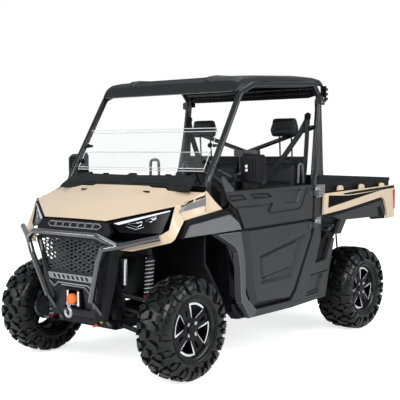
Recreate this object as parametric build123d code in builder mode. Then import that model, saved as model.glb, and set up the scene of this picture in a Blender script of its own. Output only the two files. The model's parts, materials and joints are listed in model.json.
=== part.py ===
"""Side by side utility vehicle: two-seat cab under a roll cage, with a tipping cargo bed.

The front faces -Y, the vehicle's left is +X, up is +Z. The origin is on the ground, midway
along and across the vehicle. All sizes are in millimetres.
"""
import os
from math import asin, cos, degrees, radians, sin, sqrt

from build123d import *

# ---------------------------------------------------------------- driving dimensions
wheelbase = 2080
track = 1320
front_overhang = 407          # front axle to the brush guard's face
rear_overhang = 600           # rear axle to the tailgate's face
ride_height = 300             # ground to the underside of the frame and sills

tyre_radius = 330             # out to the tips of the lugs
front_tyre_width = 229
rear_tyre_width = 279
rim_radius = 178              # bead seat of a 14 inch rim
rim_lip = 15                  # flange height above the bead seat
lug_height = 14
lug_count = 16                # lugs in each of a tyre's two rows
lug_length = 76               # along the tread
lug_start = 8                 # a tyre's middle to its lugs
tyre_facets = 24
wheel_offset = 30             # wheel centre plane to the back of the spokes
spoke_thickness = 22

gap = 8                       # between a moving panel and its neighbour
seat_gap = 0.3                # between pieces that rest on or in each other
running_gap = 5               # between pieces that pass each other

side_overhang = 60            # wheel centre plane to the outer face of the doors
door_thickness = 30
flare_overhang = 85           # wheel centre plane to the outer edge of the flares
cage_radius = 22
cage_lean = 10                # how far the cage is narrower at the roof, each side
guard_radius = 19

rail_spread = 230             # centre line to the middle of a frame rail
rail_width = 50
rail_depth = 45
post_size = 45
arm_radius = 16
bush_radius = 18
bush_length = 60
arm_spread = 150              # axle to each inboard arm pivot
kingpin_inset = 70            # wheel centre plane to the steering axis
spindle_radius = 26

floor_height = 65             # heights below are above the sill's underside
seat_height = 480
belt_front = 868
belt_rear = 882
cowl_height = 880
cowl_rise = 120                # cowl's rear edge above its front edge
seat_back_top = 1090
roof_rail_front = 1587
roof_rail_rear = 1635
bed_floor_height = 594
bed_rail_height = 907
bed_half_width = 700
bed_wall = 40
bed_floor_thickness = 30
hinge_radius = 11

steering_wheel_radius = 178
steering_wheel_grip = 15
column_radius = 24
column_angle = 40             # steering axis above the horizontal

# ---------------------------------------------------------------- stations
overall_length = front_overhang + wheelbase + rear_overhang
front_axle_y = front_overhang - overall_length / 2
rear_axle_y = front_axle_y + wheelbase
wheel_x = track / 2
axle_z = tyre_radius
carcass_radius = tyre_radius - lug_height
sidewall_radius = tyre_radius - 60
lug_face = sqrt(tyre_radius ** 2 - (lug_length / 2) ** 2)
lug_middle = lug_face - lug_height
lug_angle = degrees(asin(lug_length / 2 / tyre_radius))
kingpin_x = wheel_x - kingpin_inset
door_x = wheel_x + side_overhang
flare_x = wheel_x + flare_overhang
rail_in = rail_spread - rail_width / 2
rail_out = rail_spread + rail_width / 2
body_in = door_x - door_thickness - gap
cage_x = body_in - cage_radius - seat_gap
tub_half = cage_x - cage_radius - 2
roof_cage_x = cage_x - cage_lean
pivot_x = rail_out + bush_radius + seat_gap
cowl_top = cowl_height + cowl_rise
dash_top = cowl_height + 25

SIDES = (("left", 1), ("right", -1))


def front(x, y, z):
    """A point x out, y behind the front axle and z above the sill's underside."""
    return Vector(x, front_axle_y + y, ride_height + z)


def rear(x, y, z):
    """A point x out, y behind the rear axle and z above the sill's underside."""
    return Vector(x, rear_axle_y + y, ride_height + z)


def front_outline(points):
    """Side-view outline from (y behind the front axle, z above the sill)."""
    return [(front_axle_y + y, ride_height + z) for y, z in points]


def rear_outline(points):
    """Side-view outline from (y behind the rear axle, z above the sill)."""
    return [(rear_axle_y + y, ride_height + z) for y, z in points]


def front_view(points):
    """Front-view outline from (x, z above the sill), mirrored across the centre line."""
    half = [(x, ride_height + z) for x, z in points]
    return half + [(-x, z) for x, z in reversed(half)]


# ---------------------------------------------------------------- shared shapes
def across(outline, x_from, x_to, mode=Mode.ADD):
    """A side-view outline of (y, z) points, run across from x_from to x_to."""
    with BuildSketch(Plane.YZ.offset(x_from)) as profile:
        with BuildLine():
            Polyline(*outline, close=True)
        make_face()
    extrude(profile.sketch, amount=x_to - x_from, mode=mode)


def along(outline, y_from, y_to, mode=Mode.ADD):
    """A front-view outline of (x, z) points, run back from y_from to y_to."""
    with BuildSketch(Plane.XZ.offset(-y_from)) as profile:
        with BuildLine():
            Polyline(*outline, close=True)
        make_face()
    extrude(profile.sketch, amount=y_from - y_to, mode=mode)


def upright(outline, z_from, z_to, mode=Mode.ADD):
    """A plan outline of (x, y) points, run up from z_from to z_to."""
    with BuildSketch(Plane.XY.offset(z_from)) as profile:
        with BuildLine():
            Polyline(*outline, close=True)
        make_face()
    extrude(profile.sketch, amount=z_to - z_from, mode=mode)


def folded(facets, shift):
    """Flat panels that share edges, all thickened by the same shift."""
    for points in facets:
        flat = Plane(origin=points[0], x_dir=points[1] - points[0],
                     z_dir=(points[1] - points[0]).cross(points[2] - points[1]))
        local = [flat.to_local_coords(point) for point in points]
        with BuildSketch(flat) as profile:
            with BuildLine():
                Polyline(*[(point.X, point.Y) for point in local], close=True)
            make_face()
        extrude(profile.sketch, amount=shift.length, dir=shift)


def block(low, high, mode=Mode.ADD):
    """A box between two corners."""
    x, y, z = (low + high) / 2
    size = high - low
    with Locations((x, y, z)):
        Box(abs(size.X), abs(size.Y), abs(size.Z), mode=mode)


def rod(start, end, radius, mode=Mode.ADD):
    """A straight round bar between two points."""
    with BuildSketch(Plane(origin=start, z_dir=end - start)) as profile:
        Circle(radius)
    extrude(profile.sketch, amount=(end - start).length, mode=mode)


def tube(points, radius, bends):
    """A round bar bent through the points, with one bend radius for each corner."""
    with BuildLine() as path:
        FilletPolyline(*points, radius=bends)
    with BuildSketch(Plane(origin=path.line @ 0, z_dir=path.line % 0)) as profile:
        Circle(radius)
    sweep(profile.sketch, path=path.line)


def save(piece, label):
    """Names a finished piece and writes its STEP file."""
    piece.part.label = label
    export_step(piece.part, f"parts/{label}.step")


os.makedirs("parts", exist_ok=True)

# ---------------------------------------------------------------- frame
tower_z = 520                 # top of the front shock tower
bed_rail_z = bed_floor_height - 44
bed_pivot_y = 390
bed_pivot_z = bed_floor_height - 22
rear_tower_z = 470
skid_thickness = 6
outrigger = 40
stay_in = 215                 # inner face of the grille stays
fascia_back_y = -240
winch_deck = 118              # top of the winch's plate
shock_x = 440
shock_y = -80
cage_foot_front = 660
cage_foot_rear = -620

with BuildPart() as frame:
    for side in (-1, 1):
        x = side * rail_spread
        half = rail_width / 2
        block(front(x - half, -215, 0), rear(x + half, 400, rail_depth))
        for y in (-arm_spread, arm_spread):
            post = post_size / 2
            block(front(x - post, y - post, rail_depth - 1), front(x + post, y + post, tower_z))
            block(rear(x - post, y - post, rail_depth - 1), rear(x + post, y + post, bed_rail_z))
        block(front(x - 20, -arm_spread, tower_z - 40), front(x + 20, arm_spread, tower_z))
        block(rear(x - 20, -470, bed_rail_z - 45), rear(x + 20, bed_pivot_y - 25, bed_rail_z))
        block(rear(x - 20, -470, rail_depth - 1), rear(x + 20, -430, bed_rail_z))
        block(rear(x - 20, 340, rail_depth - 1), rear(x + 20, bed_pivot_y - 25, bed_rail_z))
        across(rear_outline([(bed_pivot_y - 60, bed_rail_z - 45), (bed_pivot_y + 14, bed_pivot_z - 30),
                             (bed_pivot_y + 14, bed_pivot_z + 14), (bed_pivot_y - 14, bed_pivot_z + 14),
                             (bed_pivot_y - 60, bed_rail_z - 5)]),
               side * (rail_spread - 20), side * (rail_spread - 8))
    for y in (-190, 330, 780):
        block(front(-rail_in, y - 22, 4), front(rail_in, y + 22, rail_depth - 4))
    for y in (-520, -250, 250, 378):
        block(rear(-rail_in, y - 22, 4), rear(rail_in, y + 22, rail_depth - 4))
    for y in (-arm_spread, arm_spread):
        block(front(-rail_spread, y - 18, tower_z - 40), front(rail_spread, y + 18, tower_z))
    for y in (-arm_spread, 350):
        block(rear(-rail_spread, y - 18, bed_rail_z - 45), rear(rail_spread, y + 18, bed_rail_z))
    for point, top in ((front, tower_z - 2), (rear, rear_tower_z)):
        block(point(-shock_x - 20, shock_y - 17, top - 34), point(shock_x + 20, shock_y + 17, top))
        for side in (-1, 1):
            block(point(side * (rail_spread - 20), -arm_spread, top - 34),
                  point(side * (rail_spread + 20), arm_spread, top))
    for side in (-1, 1):
        inner = side * rail_out
        outer = side * (door_x - door_thickness - gap)
        for point, y in ((front, cage_foot_front), (rear, cage_foot_rear)):
            block(point(inner, y - outrigger / 2, 2), point(outer, y + outrigger / 2, rail_depth - 3))
        block(front(side * stay_in, fascia_back_y + seat_gap, tower_z - 32), front(side * 290, -130, tower_z - 4))
        block(front(side * 100, -212, rail_depth - 10), front(side * 130, -180, winch_deck))
    block(front(-130, -306, winch_deck - 6), front(130, -180, winch_deck))
save(frame, "frame")

with BuildPart() as skid_plate:
    block(front(-rail_out - 15, -200, -skid_thickness), rear(rail_out + 15, -180, 0))
save(skid_plate, "skid_plate")

# ---------------------------------------------------------------- cab
tub_front_y = 240             # firewall, behind the front axle
tub_wall = 20
toe_y = 490
seat_front_y = -1040          # from the rear axle, so ahead of it
seat_rear_y = -560
pedestal_height = seat_height - 90
firewall_height = 830

with BuildPart() as cab_tub:
    across(front_outline([(tub_front_y, firewall_height), (tub_front_y, 400),
                          (toe_y, floor_height - tub_wall)])
           + rear_outline([(seat_front_y, floor_height - tub_wall),
                           (seat_front_y, pedestal_height - tub_wall),
                           (seat_rear_y, pedestal_height - tub_wall), (seat_rear_y, pedestal_height),
                           (seat_front_y - tub_wall, pedestal_height),
                           (seat_front_y - tub_wall, floor_height)])
           + front_outline([(toe_y + 8, floor_height), (tub_front_y + tub_wall, 408),
                            (tub_front_y + tub_wall, firewall_height)]),
           -tub_half, tub_half)
save(cab_tub, "cab_tub")

with BuildPart() as rear_panel:
    across(rear_outline([(seat_rear_y, 120), (seat_rear_y + 12, 120),
                         (seat_rear_y + 12, seat_back_top), (seat_rear_y, seat_back_top)]),
           -tub_half + 60, tub_half - 60)
save(rear_panel, "rear_panel")

wheel_hub_y = 640             # steering wheel centre, behind the front axle
wheel_hub_height = 860
driver_x = 330
steer_dir = Vector(0, cos(radians(column_angle)), sin(radians(column_angle)))
wheel_hub = front(driver_x, wheel_hub_y, wheel_hub_height)
column_top = wheel_hub - steer_dir * 70
column_foot = wheel_hub - steer_dir * 470

with BuildPart() as dashboard:
    across(front_outline([(tub_front_y + tub_wall, 700), (330, 640), (400, 660), (425, 760),
                          (415, dash_top - 55), (370, dash_top), (tub_front_y + tub_wall, dash_top)]),
           -tub_half + 4, tub_half - 4)
    rod(column_foot, wheel_hub, column_radius + seat_gap, mode=Mode.SUBTRACT)
    block(front(-480, 350, 780), front(-180, 430, 850), mode=Mode.SUBTRACT)
save(dashboard, "dashboard")

with BuildPart() as steering_column:
    rod(column_foot, column_top, column_radius)
save(steering_column, "steering_column")

with BuildPart() as steering_wheel:
    with Locations(Plane(origin=wheel_hub, x_dir=steer_dir.cross(Vector(1, 0, 0)), z_dir=steer_dir).location):
        Torus(steering_wheel_radius, steering_wheel_grip)
    hub_back = wheel_hub - steer_dir * 45
    rod(hub_back, wheel_hub - steer_dir * 2, 45)
    rod(column_top + steer_dir * seat_gap, hub_back + steer_dir, 14)
    spoke_dirs = (Vector(1, 0, 0), Vector(-1, 0, 0), Vector(1, 0, 0).cross(steer_dir))
    for spoke_dir in spoke_dirs:
        rod(wheel_hub - steer_dir * 20 + spoke_dir * 30,
            wheel_hub - steer_dir * 3 + spoke_dir * (steering_wheel_radius - 4), 9)
save(steering_wheel, "steering_wheel")

seat_half = 560
with BuildPart() as seat_base:
    across(rear_outline([(seat_front_y - 10, pedestal_height + seat_gap), (seat_rear_y - 20, pedestal_height + seat_gap),
                         (seat_rear_y - 20, seat_height - 20), (seat_front_y + 60, seat_height + 20),
                         (seat_front_y - 10, seat_height)]),
           -seat_half, seat_half)
save(seat_base, "seat_base")

with BuildPart() as seat_back:
    across(rear_outline([(seat_rear_y - 130, seat_height + 10), (seat_rear_y - 30, seat_height + 4),
                         (seat_rear_y - seat_gap, seat_back_top - 40), (seat_rear_y - 90, seat_back_top - 40)]),
           -seat_half, seat_half)
save(seat_back, "seat_back")

# ---------------------------------------------------------------- roll cage
pillar_foot_y = 223           # front pillar where it leaves the cowl
pillar_head_y = 610
b_pillar_y = -580             # rear pillar at the belt, from the rear axle
b_head_y = -488
rear_bar_y = -520

for side, sign in SIDES:
    with BuildPart() as cage_side:
        x = sign * cage_x
        top_x = sign * roof_cage_x
        foot_z = rail_depth - 3 + seat_gap
        tube([front(x, cage_foot_front, foot_z), front(x, cage_foot_front, 130), front(x, 440, 540), front(x, pillar_foot_y, cowl_height + 8),
              front(top_x, pillar_head_y, 1530), front(top_x, 744, roof_rail_front),
              rear(top_x, -565, roof_rail_rear), rear(top_x, b_head_y, 1550),
              rear(x, b_pillar_y, belt_rear - 44), rear(x, cage_foot_rear, 130),
              rear(x, cage_foot_rear, foot_z)],
             cage_radius, [60, 200, 160, 60, 60, 40, 60, 200, 60])
    save(cage_side, f"cage_{side}")

with BuildPart() as cage_cross:
    inner = roof_cage_x - cage_radius - 0.8
    rod(front(-inner, 744, roof_rail_front), front(inner, 744, roof_rail_front), 19)
    rod(rear(-inner, rear_bar_y, roof_rail_rear - 30), rear(inner, rear_bar_y, roof_rail_rear - 30), 19)
    for sign in (-1, 1):
        rod(rear(sign * (inner - 4), rear_bar_y - 4, 1310), rear(sign * 6, rear_bar_y - 4, 1124), 17)
    rod(rear(-inner - 4, rear_bar_y - 4, 1310), rear(-inner + 20, rear_bar_y - 4, 1310), 17)
    rod(rear(inner + 4, rear_bar_y - 4, 1310), rear(inner - 20, rear_bar_y - 4, 1310), 17)
    block(rear(-120, rear_bar_y - 21, seat_back_top + seat_gap), rear(120, rear_bar_y + 13, 1140))
save(cage_cross, "cage_cross")

# ---------------------------------------------------------------- roof
roof_half = 662
roof_lip_half = 612
roof_front_y = 572
roof_rear_y = -420            # from the rear axle
roof_bend_y = 744             # where the cage turns into the roof rails
roof_rise = 63

with BuildPart() as roof:
    front_rest = roof_rail_front + cage_radius + seat_gap
    rear_rest = roof_rail_rear + cage_radius + seat_gap
    crown = roof_rail_rear + roof_rise
    across(front_outline([(roof_front_y + 40, front_rest + 3), (roof_front_y + 118, roof_rail_front + roof_rise)])
           + rear_outline([(roof_rear_y - 322, crown - 2), (roof_rear_y - 48, crown), (roof_rear_y, rear_rest - 27),
                           (roof_rear_y - 16, rear_rest - 32), (roof_rear_y - 72, rear_rest),
                           (roof_rear_y - 145, rear_rest)])
           + front_outline([(roof_bend_y, front_rest), (roof_front_y + 60, front_rest - 17)]),
           -roof_half, roof_half)
    across(front_outline([(roof_front_y, front_rest - 74), (roof_front_y + 41, front_rest + 4),
                          (roof_front_y + 61, front_rest - 18), (roof_front_y + 20, front_rest - 79)]),
           -roof_lip_half, roof_lip_half)
save(roof, "roof")

# ---------------------------------------------------------------- windshield
glass_half = 606
glass_thickness = 6
glass_rake = 0.602            # rearward run for each unit of height

with BuildPart() as windshield:
    for foot, head, lift in ((seat_gap, 126, 0), (18, 266, glass_thickness + seat_gap)):
        foot += cowl_top
        head += cowl_top
        base_y = pillar_foot_y - 14 - lift
        across(front_outline([(base_y + glass_rake * (foot - cowl_height), foot),
                              (base_y + glass_rake * (head - cowl_height), head),
                              (base_y - glass_thickness + glass_rake * (head - cowl_height), head),
                              (base_y - glass_thickness + glass_rake * (foot - cowl_height), foot)]),
               -glass_half, glass_half)
save(windshield, "windshield")

with BuildPart() as windshield_clamps:
    for height, lift in ((cowl_top + 60, 0), (cowl_top + 170, glass_thickness + seat_gap)):
        y = pillar_foot_y - 14 - lift + glass_rake * (height + 10 - cowl_height)
        for sign in (-1, 1):
            lean = cage_lean * (height - cowl_height) / (1530 - cowl_height)
            block(front(sign * (glass_half - 24), y + seat_gap, height - 10),
                  front(sign * (cage_x - lean - cage_radius - 1), y + 30, height + 10))
save(windshield_clamps, "windshield_clamps")

# ---------------------------------------------------------------- front body
hood_tip_y = -303
hood_tip_height = 705
lamp_tip_x = 649
lamp_tip_y = -63
lamp_tip_height = 796
hood_nose_x = 290
hood_tail_x = 447
hood_tail_y = 106
shoulder_x = 640
hood_wall = 14
hood_side_x = body_in + 1
hood_side_y = -10
hood_side_height = 806
hood_corner_y = 195
hood_corner_height = 871

with BuildPart() as hood:
    centre_line = [front(x, y, z) for x, y, z in (
        (hood_nose_x, hood_tip_y, hood_tip_height), (hood_tail_x, hood_tail_y, cowl_height),
        (-hood_tail_x, hood_tail_y, cowl_height), (-hood_nose_x, hood_tip_y, hood_tip_height))]
    folded([centre_line], Vector(0, 0, -hood_wall))
    for sign in (-1, 1):
        nose = front(sign * hood_nose_x, hood_tip_y, hood_tip_height)
        lamp = front(sign * lamp_tip_x, lamp_tip_y, lamp_tip_height)
        edge = front(sign * hood_side_x, hood_side_y, hood_side_height)
        corner = front(sign * hood_side_x, hood_corner_y, hood_corner_height)
        tail = front(sign * hood_tail_x, hood_tail_y, cowl_height)
        folded([[nose, lamp, tail], [lamp, corner, tail], [lamp, edge, corner]], Vector(0, 0, -hood_wall))
save(hood, "hood")

notch_depth = 30
with BuildPart() as cowl:
    across(front_outline([(hood_tail_y + seat_gap, cowl_height - 4), (pillar_foot_y + 50, cowl_top),
                          (pillar_foot_y + 62, cowl_top), (pillar_foot_y + 62, cowl_top - 14),
                          (hood_tail_y + 34, cowl_height - 16)]),
           -shoulder_x + 24, shoulder_x - 24)
    for sign in (-1, 1):
        block(front(sign * 402, 190, cowl_top - notch_depth), front(sign * 47, 300, cowl_top + 10),
              mode=Mode.SUBTRACT)
        tail = front(sign * (hood_tail_x - 2), hood_tail_y + 1, 0)
        corner = front(sign * hood_side_x, hood_corner_y + 10, 0)
        upright([(tail.X, tail.Y), (corner.X, corner.Y), (corner.X, tail.Y - 9), (tail.X, tail.Y - 9)],
                ride_height + 700, ride_height + 1100, mode=Mode.SUBTRACT)
        block(front(sign * 280, pillar_foot_y + 40, dash_top + seat_gap), front(sign * 320, pillar_foot_y + 60, cowl_top - 10))
save(cowl, "cowl")

fender_x = door_x - 4
fender_wall = 8
with BuildPart() as fenders:
    for sign in (-1, 1):
        across(front_outline([(hood_corner_y + 15, cowl_height), (331, 760), (-46, 708),
                              (lamp_tip_y, lamp_tip_height)]),
               sign * (hood_side_x + seat_gap), sign * fender_x)
        arch = front(sign * fender_x, -46, 708)
        low = front(sign * (fender_x - 22), -128, 590)
        tip = front(sign * 405, -288, 523)
        lamp_low = front(sign * 612, -140, 622)
        lamp_tip = front(sign * fender_x, lamp_tip_y, lamp_tip_height)
        folded([[arch, low, lamp_low], [arch, lamp_low, lamp_tip], [low, tip, lamp_low]],
               Vector(-sign * fender_wall, fender_wall, 0))
save(fenders, "fenders")

with BuildPart() as flares:
    for sign in (-1, 1):
        across(front_outline([(14, 698), (409, 730), (483, 614), (479, 128), (439, 110), (430, 400),
                              (400, 500), (251, 605), (-10, 598), (-62, 599)]),
               sign * (body_in + 2), sign * flare_x)
        across(front_outline([(14, 694), (409, 726), (331, 760 - 2 * seat_gap), (-46, 708 - 2 * seat_gap)]),
               sign * (body_in + 2), sign * (fender_x - 12))
        across(front_outline([(439, 124), (479, 128), (516, 72), (606, 68), (606, 2), (520, 4), (462, 60)]),
               sign * (body_in + 2), sign * fender_x)
save(flares, "flares")

fascia_half = 322
with BuildPart() as headlamps:
    for sign in (-1, 1):
        nose = front(sign * 336, -272, hood_tip_height - hood_wall - 0.5)
        tip = front(sign * (lamp_tip_x - 10), lamp_tip_y - 4, lamp_tip_height - hood_wall - 6)
        low = front(sign * 608, -134, 634)
        inner = front(sign * 396, -264, 640)
        folded([[nose, tip, low], [nose, low, inner]], Vector(-sign * 20, 50, 0))
        block(front(sign * (fascia_half + seat_gap), -262, 645), front(sign * 420, fascia_back_y, 665))
save(headlamps, "headlamps")

fascia_face = [(-296, 688), (-345, 620), (-350, 560), (-358, 360), (-330, 204), (-330, 130), (-296, 62)]
fascia_wall = 12
grille_y = -346
grille_rows = 8
grille_low = 394
grille_pitch = 26
with BuildPart() as front_fascia:
    outline = [(fascia_half, 688), (fascia_half, 575), (212, 355), (180, 204), (128, 62)]
    along(front_view(outline), front_axle_y - 360, front_axle_y + fascia_back_y)
    across(front_outline(fascia_face + [(-236, 62), (-236, 688)]), -340, 340, mode=Mode.INTERSECT)
    core = [(x - fascia_wall, z) for x, z in outline]
    with BuildPart(mode=Mode.PRIVATE) as hollow:
        along(front_view(core), front_axle_y - 370, front_axle_y - 230)
        across(front_outline([(y + fascia_wall, z) for y, z in fascia_face] + [(-230, 40), (-230, 700)]),
               -340, 340, mode=Mode.INTERSECT)
    add(hollow.part, mode=Mode.SUBTRACT)
    along(front_view([(284, 600), (294, 560), (199, 372)]), front_axle_y - 420, front_axle_y - 300,
          mode=Mode.SUBTRACT)
    block(front(-90, -420, 120), front(90, -300, 235), mode=Mode.SUBTRACT)
save(front_fascia, "front_fascia")

with BuildPart() as grille:
    along(front_view([(283.5, 599.5), (293.4, 560), (198.8, 372.6)]), front_axle_y + grille_y, front_axle_y + grille_y + 12)
    for row in range(grille_rows):
        height = ride_height + grille_low + row * grille_pitch
        half = 170 + (height - ride_height - grille_low) * 0.38
        cells = int(half / 44)
        with BuildSketch(Plane.XZ.offset(-front_axle_y - grille_y + 5)) as slots:
            for cell in range(-cells, cells + 1):
                with Locations((44 * cell + (22 if row % 2 else 0) - 11, height)):
                    Polygon((-19, 0), (-9, 9), (9, 9), (19, 0), (9, -9), (-9, -9))
        extrude(slots.sketch, amount=-30, mode=Mode.SUBTRACT)
save(grille, "grille")

with BuildPart() as radiator:
    block(front(seat_gap - stay_in, -232, 330), front(stay_in - seat_gap, -190, 560))
save(radiator, "radiator")

guard_y = guard_radius - front_overhang
with BuildPart() as brush_guard:
    for sign in (-1, 1):
        tube([front(sign * 205, -352, 190), front(sign * 318, guard_y - 1, 470),
              front(sign * 345, guard_y, 535), front(sign * 423, -332, 551),
              front(sign * 650, -197, 610)], guard_radius, [60, 24, 60])
    tube([front(-423, -332, 551), front(-300, guard_y, 612), front(300, guard_y, 612),
          front(423, -332, 551)], guard_radius, [60, 60])
    for sign in (-1, 1):
        rod(front(sign * 207, -350, 200), front(sign * rail_spread, -208, rail_depth / 2), 14)
        block(front(sign * rail_spread - 40, -215 - seat_gap, -30), front(sign * rail_spread + 40, -180, 90),
              mode=Mode.SUBTRACT)
save(brush_guard, "brush_guard")

with BuildPart() as winch:
    rod(front(-110, -276, 176), front(110, -276, 176), 38)
    block(front(-82, -342, 124), front(82, -332, 230))
    block(front(-30, -334, 150), front(30, -280, 200))
    for sign in (-1, 1):
        block(front(sign * 60, -300, winch_deck + seat_gap), front(sign * 100, -252, 160))
    block(front(-24, -350, 156), front(24, -318, 196), mode=Mode.SUBTRACT)
save(winch, "winch")

with BuildPart() as winch_hook:
    with Locations(front(0, -342 - 27, 181)):
        Sphere(26)
    with BuildSketch(Plane(origin=front(0, -369, 95), x_dir=(1, 0, 0), z_dir=(0, -1, 0))) as ring:
        Circle(34)
        Circle(18, mode=Mode.SUBTRACT)
    extrude(ring.sketch, amount=8, both=True)
    rod(front(0, -369, 120), front(0, -369, 165), 9)
    rod(front(0, -369, 176), front(0, -318 - seat_gap, 176), 5)
save(winch_hook, "winch_hook")

# ---------------------------------------------------------------- sills and rear quarters
quarter_x = door_x + 4
with BuildPart() as quarters:
    for sign in (-1, 1):
        across(front_outline([(612, 2), (1124, 2), (1596, 22), (1648, 220), (1722, 460), (1688, 468),
                              (1600, 306), (1452, 290), (1524, 472), (1522, 550), (1545, 630), (1540, 760),
                              (1566, 892), (1568, 962), (1600, 980), (1606, 1260), (1612, 1510), (1572, 1510),
                              (1544, 1140), (1456, 892),
                              (1434, 620), (1430, 540), (1412, 498), (1198, 124), (1126, 52), (690, 50)]),
               sign * (body_in + seat_gap), sign * quarter_x)
        across(front_outline([(1520, 500), (1600, 580), (1700, 470), (1610, 300), (1440, 280)]),
               sign * (body_in + seat_gap), sign * (body_in + 12))
save(quarters, "quarters")

# ---------------------------------------------------------------- mirrors
mirror_in = 796
mirror_out = 930
mirror_y = 520
mirror_reach = 98
with BuildPart() as mirrors:
    for sign in (-1, 1):
        block(front(sign * mirror_in, mirror_y - 58, cowl_top - mirror_reach),
              front(sign * mirror_out, mirror_y, cowl_top + mirror_reach + 20))
        tube([front(sign * (cage_x + cage_radius + 2 * seat_gap), 325, cowl_top + 40),
              front(sign * 730, 340, cowl_top), front(sign * (mirror_in + 20), mirror_y - 40, cowl_top - 30)],
             9, [30])
save(mirrors, "mirrors")

with BuildPart() as headrests:
    for sign in (-1, 1):
        block(rear(sign * 250, rear_bar_y - 90, 1230), rear(sign * 480, rear_bar_y - 21 - seat_gap, 1400))
save(headrests, "headrests")

# ---------------------------------------------------------------- engine and driveline
with BuildPart() as engine:
    block(rear(-rail_in + 15, -530, rail_depth - 4 + seat_gap), rear(rail_in - 15, -240, 360))
save(engine, "engine")

hub_height = axle_z - ride_height
diff_height = hub_height + 70
shaft_end = kingpin_x - 20 - seat_gap
with BuildPart() as driveline:
    for point, half, depth, boot in ((front, 90, 70, 18), (rear, 110, 85, 4)):
        block(point(-half, -depth, diff_height - 60), point(half, depth, diff_height + 60))
        for sign in (-1, 1):
            rod(point(sign * (half - 2), 0, diff_height), point(sign * (shaft_end - boot), 0, hub_height + 4), 13)
            rod(point(sign * (shaft_end - boot - 50), 0, hub_height + 6), point(sign * (shaft_end - boot), 0, hub_height + 4), 24)
        block(point(-rail_spread, -20, rail_depth + seat_gap), point(rail_spread, 20, rail_depth + 14))
save(driveline, "driveline")

with BuildPart() as muffler:
    rod(rear(-180, 270, 330), rear(180, 270, 330), 75)
    rod(rear(150, 270, 330), rear(180, 400, 330), 22)
    block(rear(-20, 334, 330), rear(20, 342, bed_rail_z - 45 - seat_gap))
save(muffler, "muffler")

receiver_half = 32
with BuildPart() as hitch_receiver:
    block(rear(-receiver_half, 405, 52), rear(receiver_half, 520, 52 + 2 * receiver_half))
    block(rear(-90, 400 + seat_gap, 4), rear(90, 410, 52 + 2 * receiver_half))
    block(rear(-25.5, 390, 52 + 6.5), rear(25.5, 530, 52 + 57.5), mode=Mode.SUBTRACT)
    rod(rear(-60, 480, 84), rear(60, 480, 84), 8, mode=Mode.SUBTRACT)
save(hitch_receiver, "hitch_receiver")

# ---------------------------------------------------------------- suspension
shock_foot_y = -130
lower_ball = -75
upper_ball = 140
lower_pivot = 22
upper_pivot = 220

with BuildPart() as arms:
    for point in (front, rear):
        for sign in (-1, 1):
            for pivot, ball in ((lower_pivot, lower_ball), (upper_pivot, upper_ball)):
                for y in (-arm_spread, arm_spread):
                    rod(point(sign * pivot_x, y - bush_length / 2, pivot),
                        point(sign * pivot_x, y + bush_length / 2, pivot), bush_radius)
                    rod(point(sign * pivot_x, y, pivot),
                        point(sign * (kingpin_x - 14), 0, ball + (12 if ball > 0 else -12)), arm_radius)
                rod(point(sign * kingpin_x, 0, ball - 12), point(sign * kingpin_x, 0, ball + 12), 22)
            block(point(sign * 418, shock_foot_y + 11 + seat_gap, -46), point(sign * 442, -66, -20))
save(arms, "arms")

spring_radius = 25
with BuildPart() as shocks:
    for point, top in ((front, tower_z - 2 - 34), (rear, rear_tower_z - 34)):
        for sign in (-1, 1):
            rod(point(sign * shock_x, shock_y, top - 8), point(sign * 430, shock_foot_y, 130), spring_radius)
            rod(point(sign * 430, shock_foot_y, 135), point(sign * 430, shock_foot_y, -44), 11)
            rod(point(sign * shock_x, shock_y, top - 30), point(sign * shock_x, shock_y, top - seat_gap), 11)
save(shocks, "shocks")

hub_x = wheel_x - 5
with BuildPart() as rear_hubs:
    for sign in (-1, 1):
        rod(rear(sign * kingpin_x, 0, lower_ball + 12 + seat_gap),
            rear(sign * kingpin_x, 0, upper_ball - 12 - seat_gap), 20)
        rod(rear(sign * kingpin_x, 0, hub_height), rear(sign * (hub_x - seat_gap), 0, hub_height), spindle_radius)
save(rear_hubs, "rear_hubs")

steer_arm_y = 95
steer_arm_height = 27
steer_arm_thickness = 16
for side, sign in SIDES:
    with BuildPart() as knuckle:
        rod(front(sign * kingpin_x, 0, lower_ball + 12 + seat_gap),
            front(sign * kingpin_x, 0, upper_ball - 12 - seat_gap), 20)
        rod(front(sign * kingpin_x, 0, hub_height), front(sign * (hub_x - seat_gap), 0, hub_height), spindle_radius)
        block(front(sign * (kingpin_x - 16), 5, steer_arm_height),
              front(sign * (kingpin_x + 6), steer_arm_y + 14, steer_arm_height + steer_arm_thickness))
    save(knuckle, f"knuckle_{side}")

tie_radius = 9
tie_end_radius = 14
tie_height = steer_arm_height + steer_arm_thickness + running_gap + tie_end_radius
rack_radius = 12
housing_half = rail_in - seat_gap
with BuildPart() as steering_rack:
    rod(front(-housing_half - 65, steer_arm_y, tie_height), front(housing_half + 65, steer_arm_y, tie_height),
        rack_radius)
    for sign in (-1, 1):
        rod(front(sign * (housing_half + 60), steer_arm_y, tie_height),
            front(sign * (kingpin_x - 5), steer_arm_y, tie_height), tie_radius)
        with Locations(front(sign * (kingpin_x - 5), steer_arm_y, tie_height)):
            Sphere(tie_end_radius)
save(steering_rack, "steering_rack")

with BuildPart() as rack_housing:
    rod(front(-housing_half, steer_arm_y, tie_height), front(housing_half, steer_arm_y, tie_height), 22)
    rod(front(-housing_half - 1, steer_arm_y, tie_height), front(housing_half + 1, steer_arm_y, tie_height),
        rack_radius + seat_gap, mode=Mode.SUBTRACT)
save(rack_housing, "rack_housing")

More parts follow.
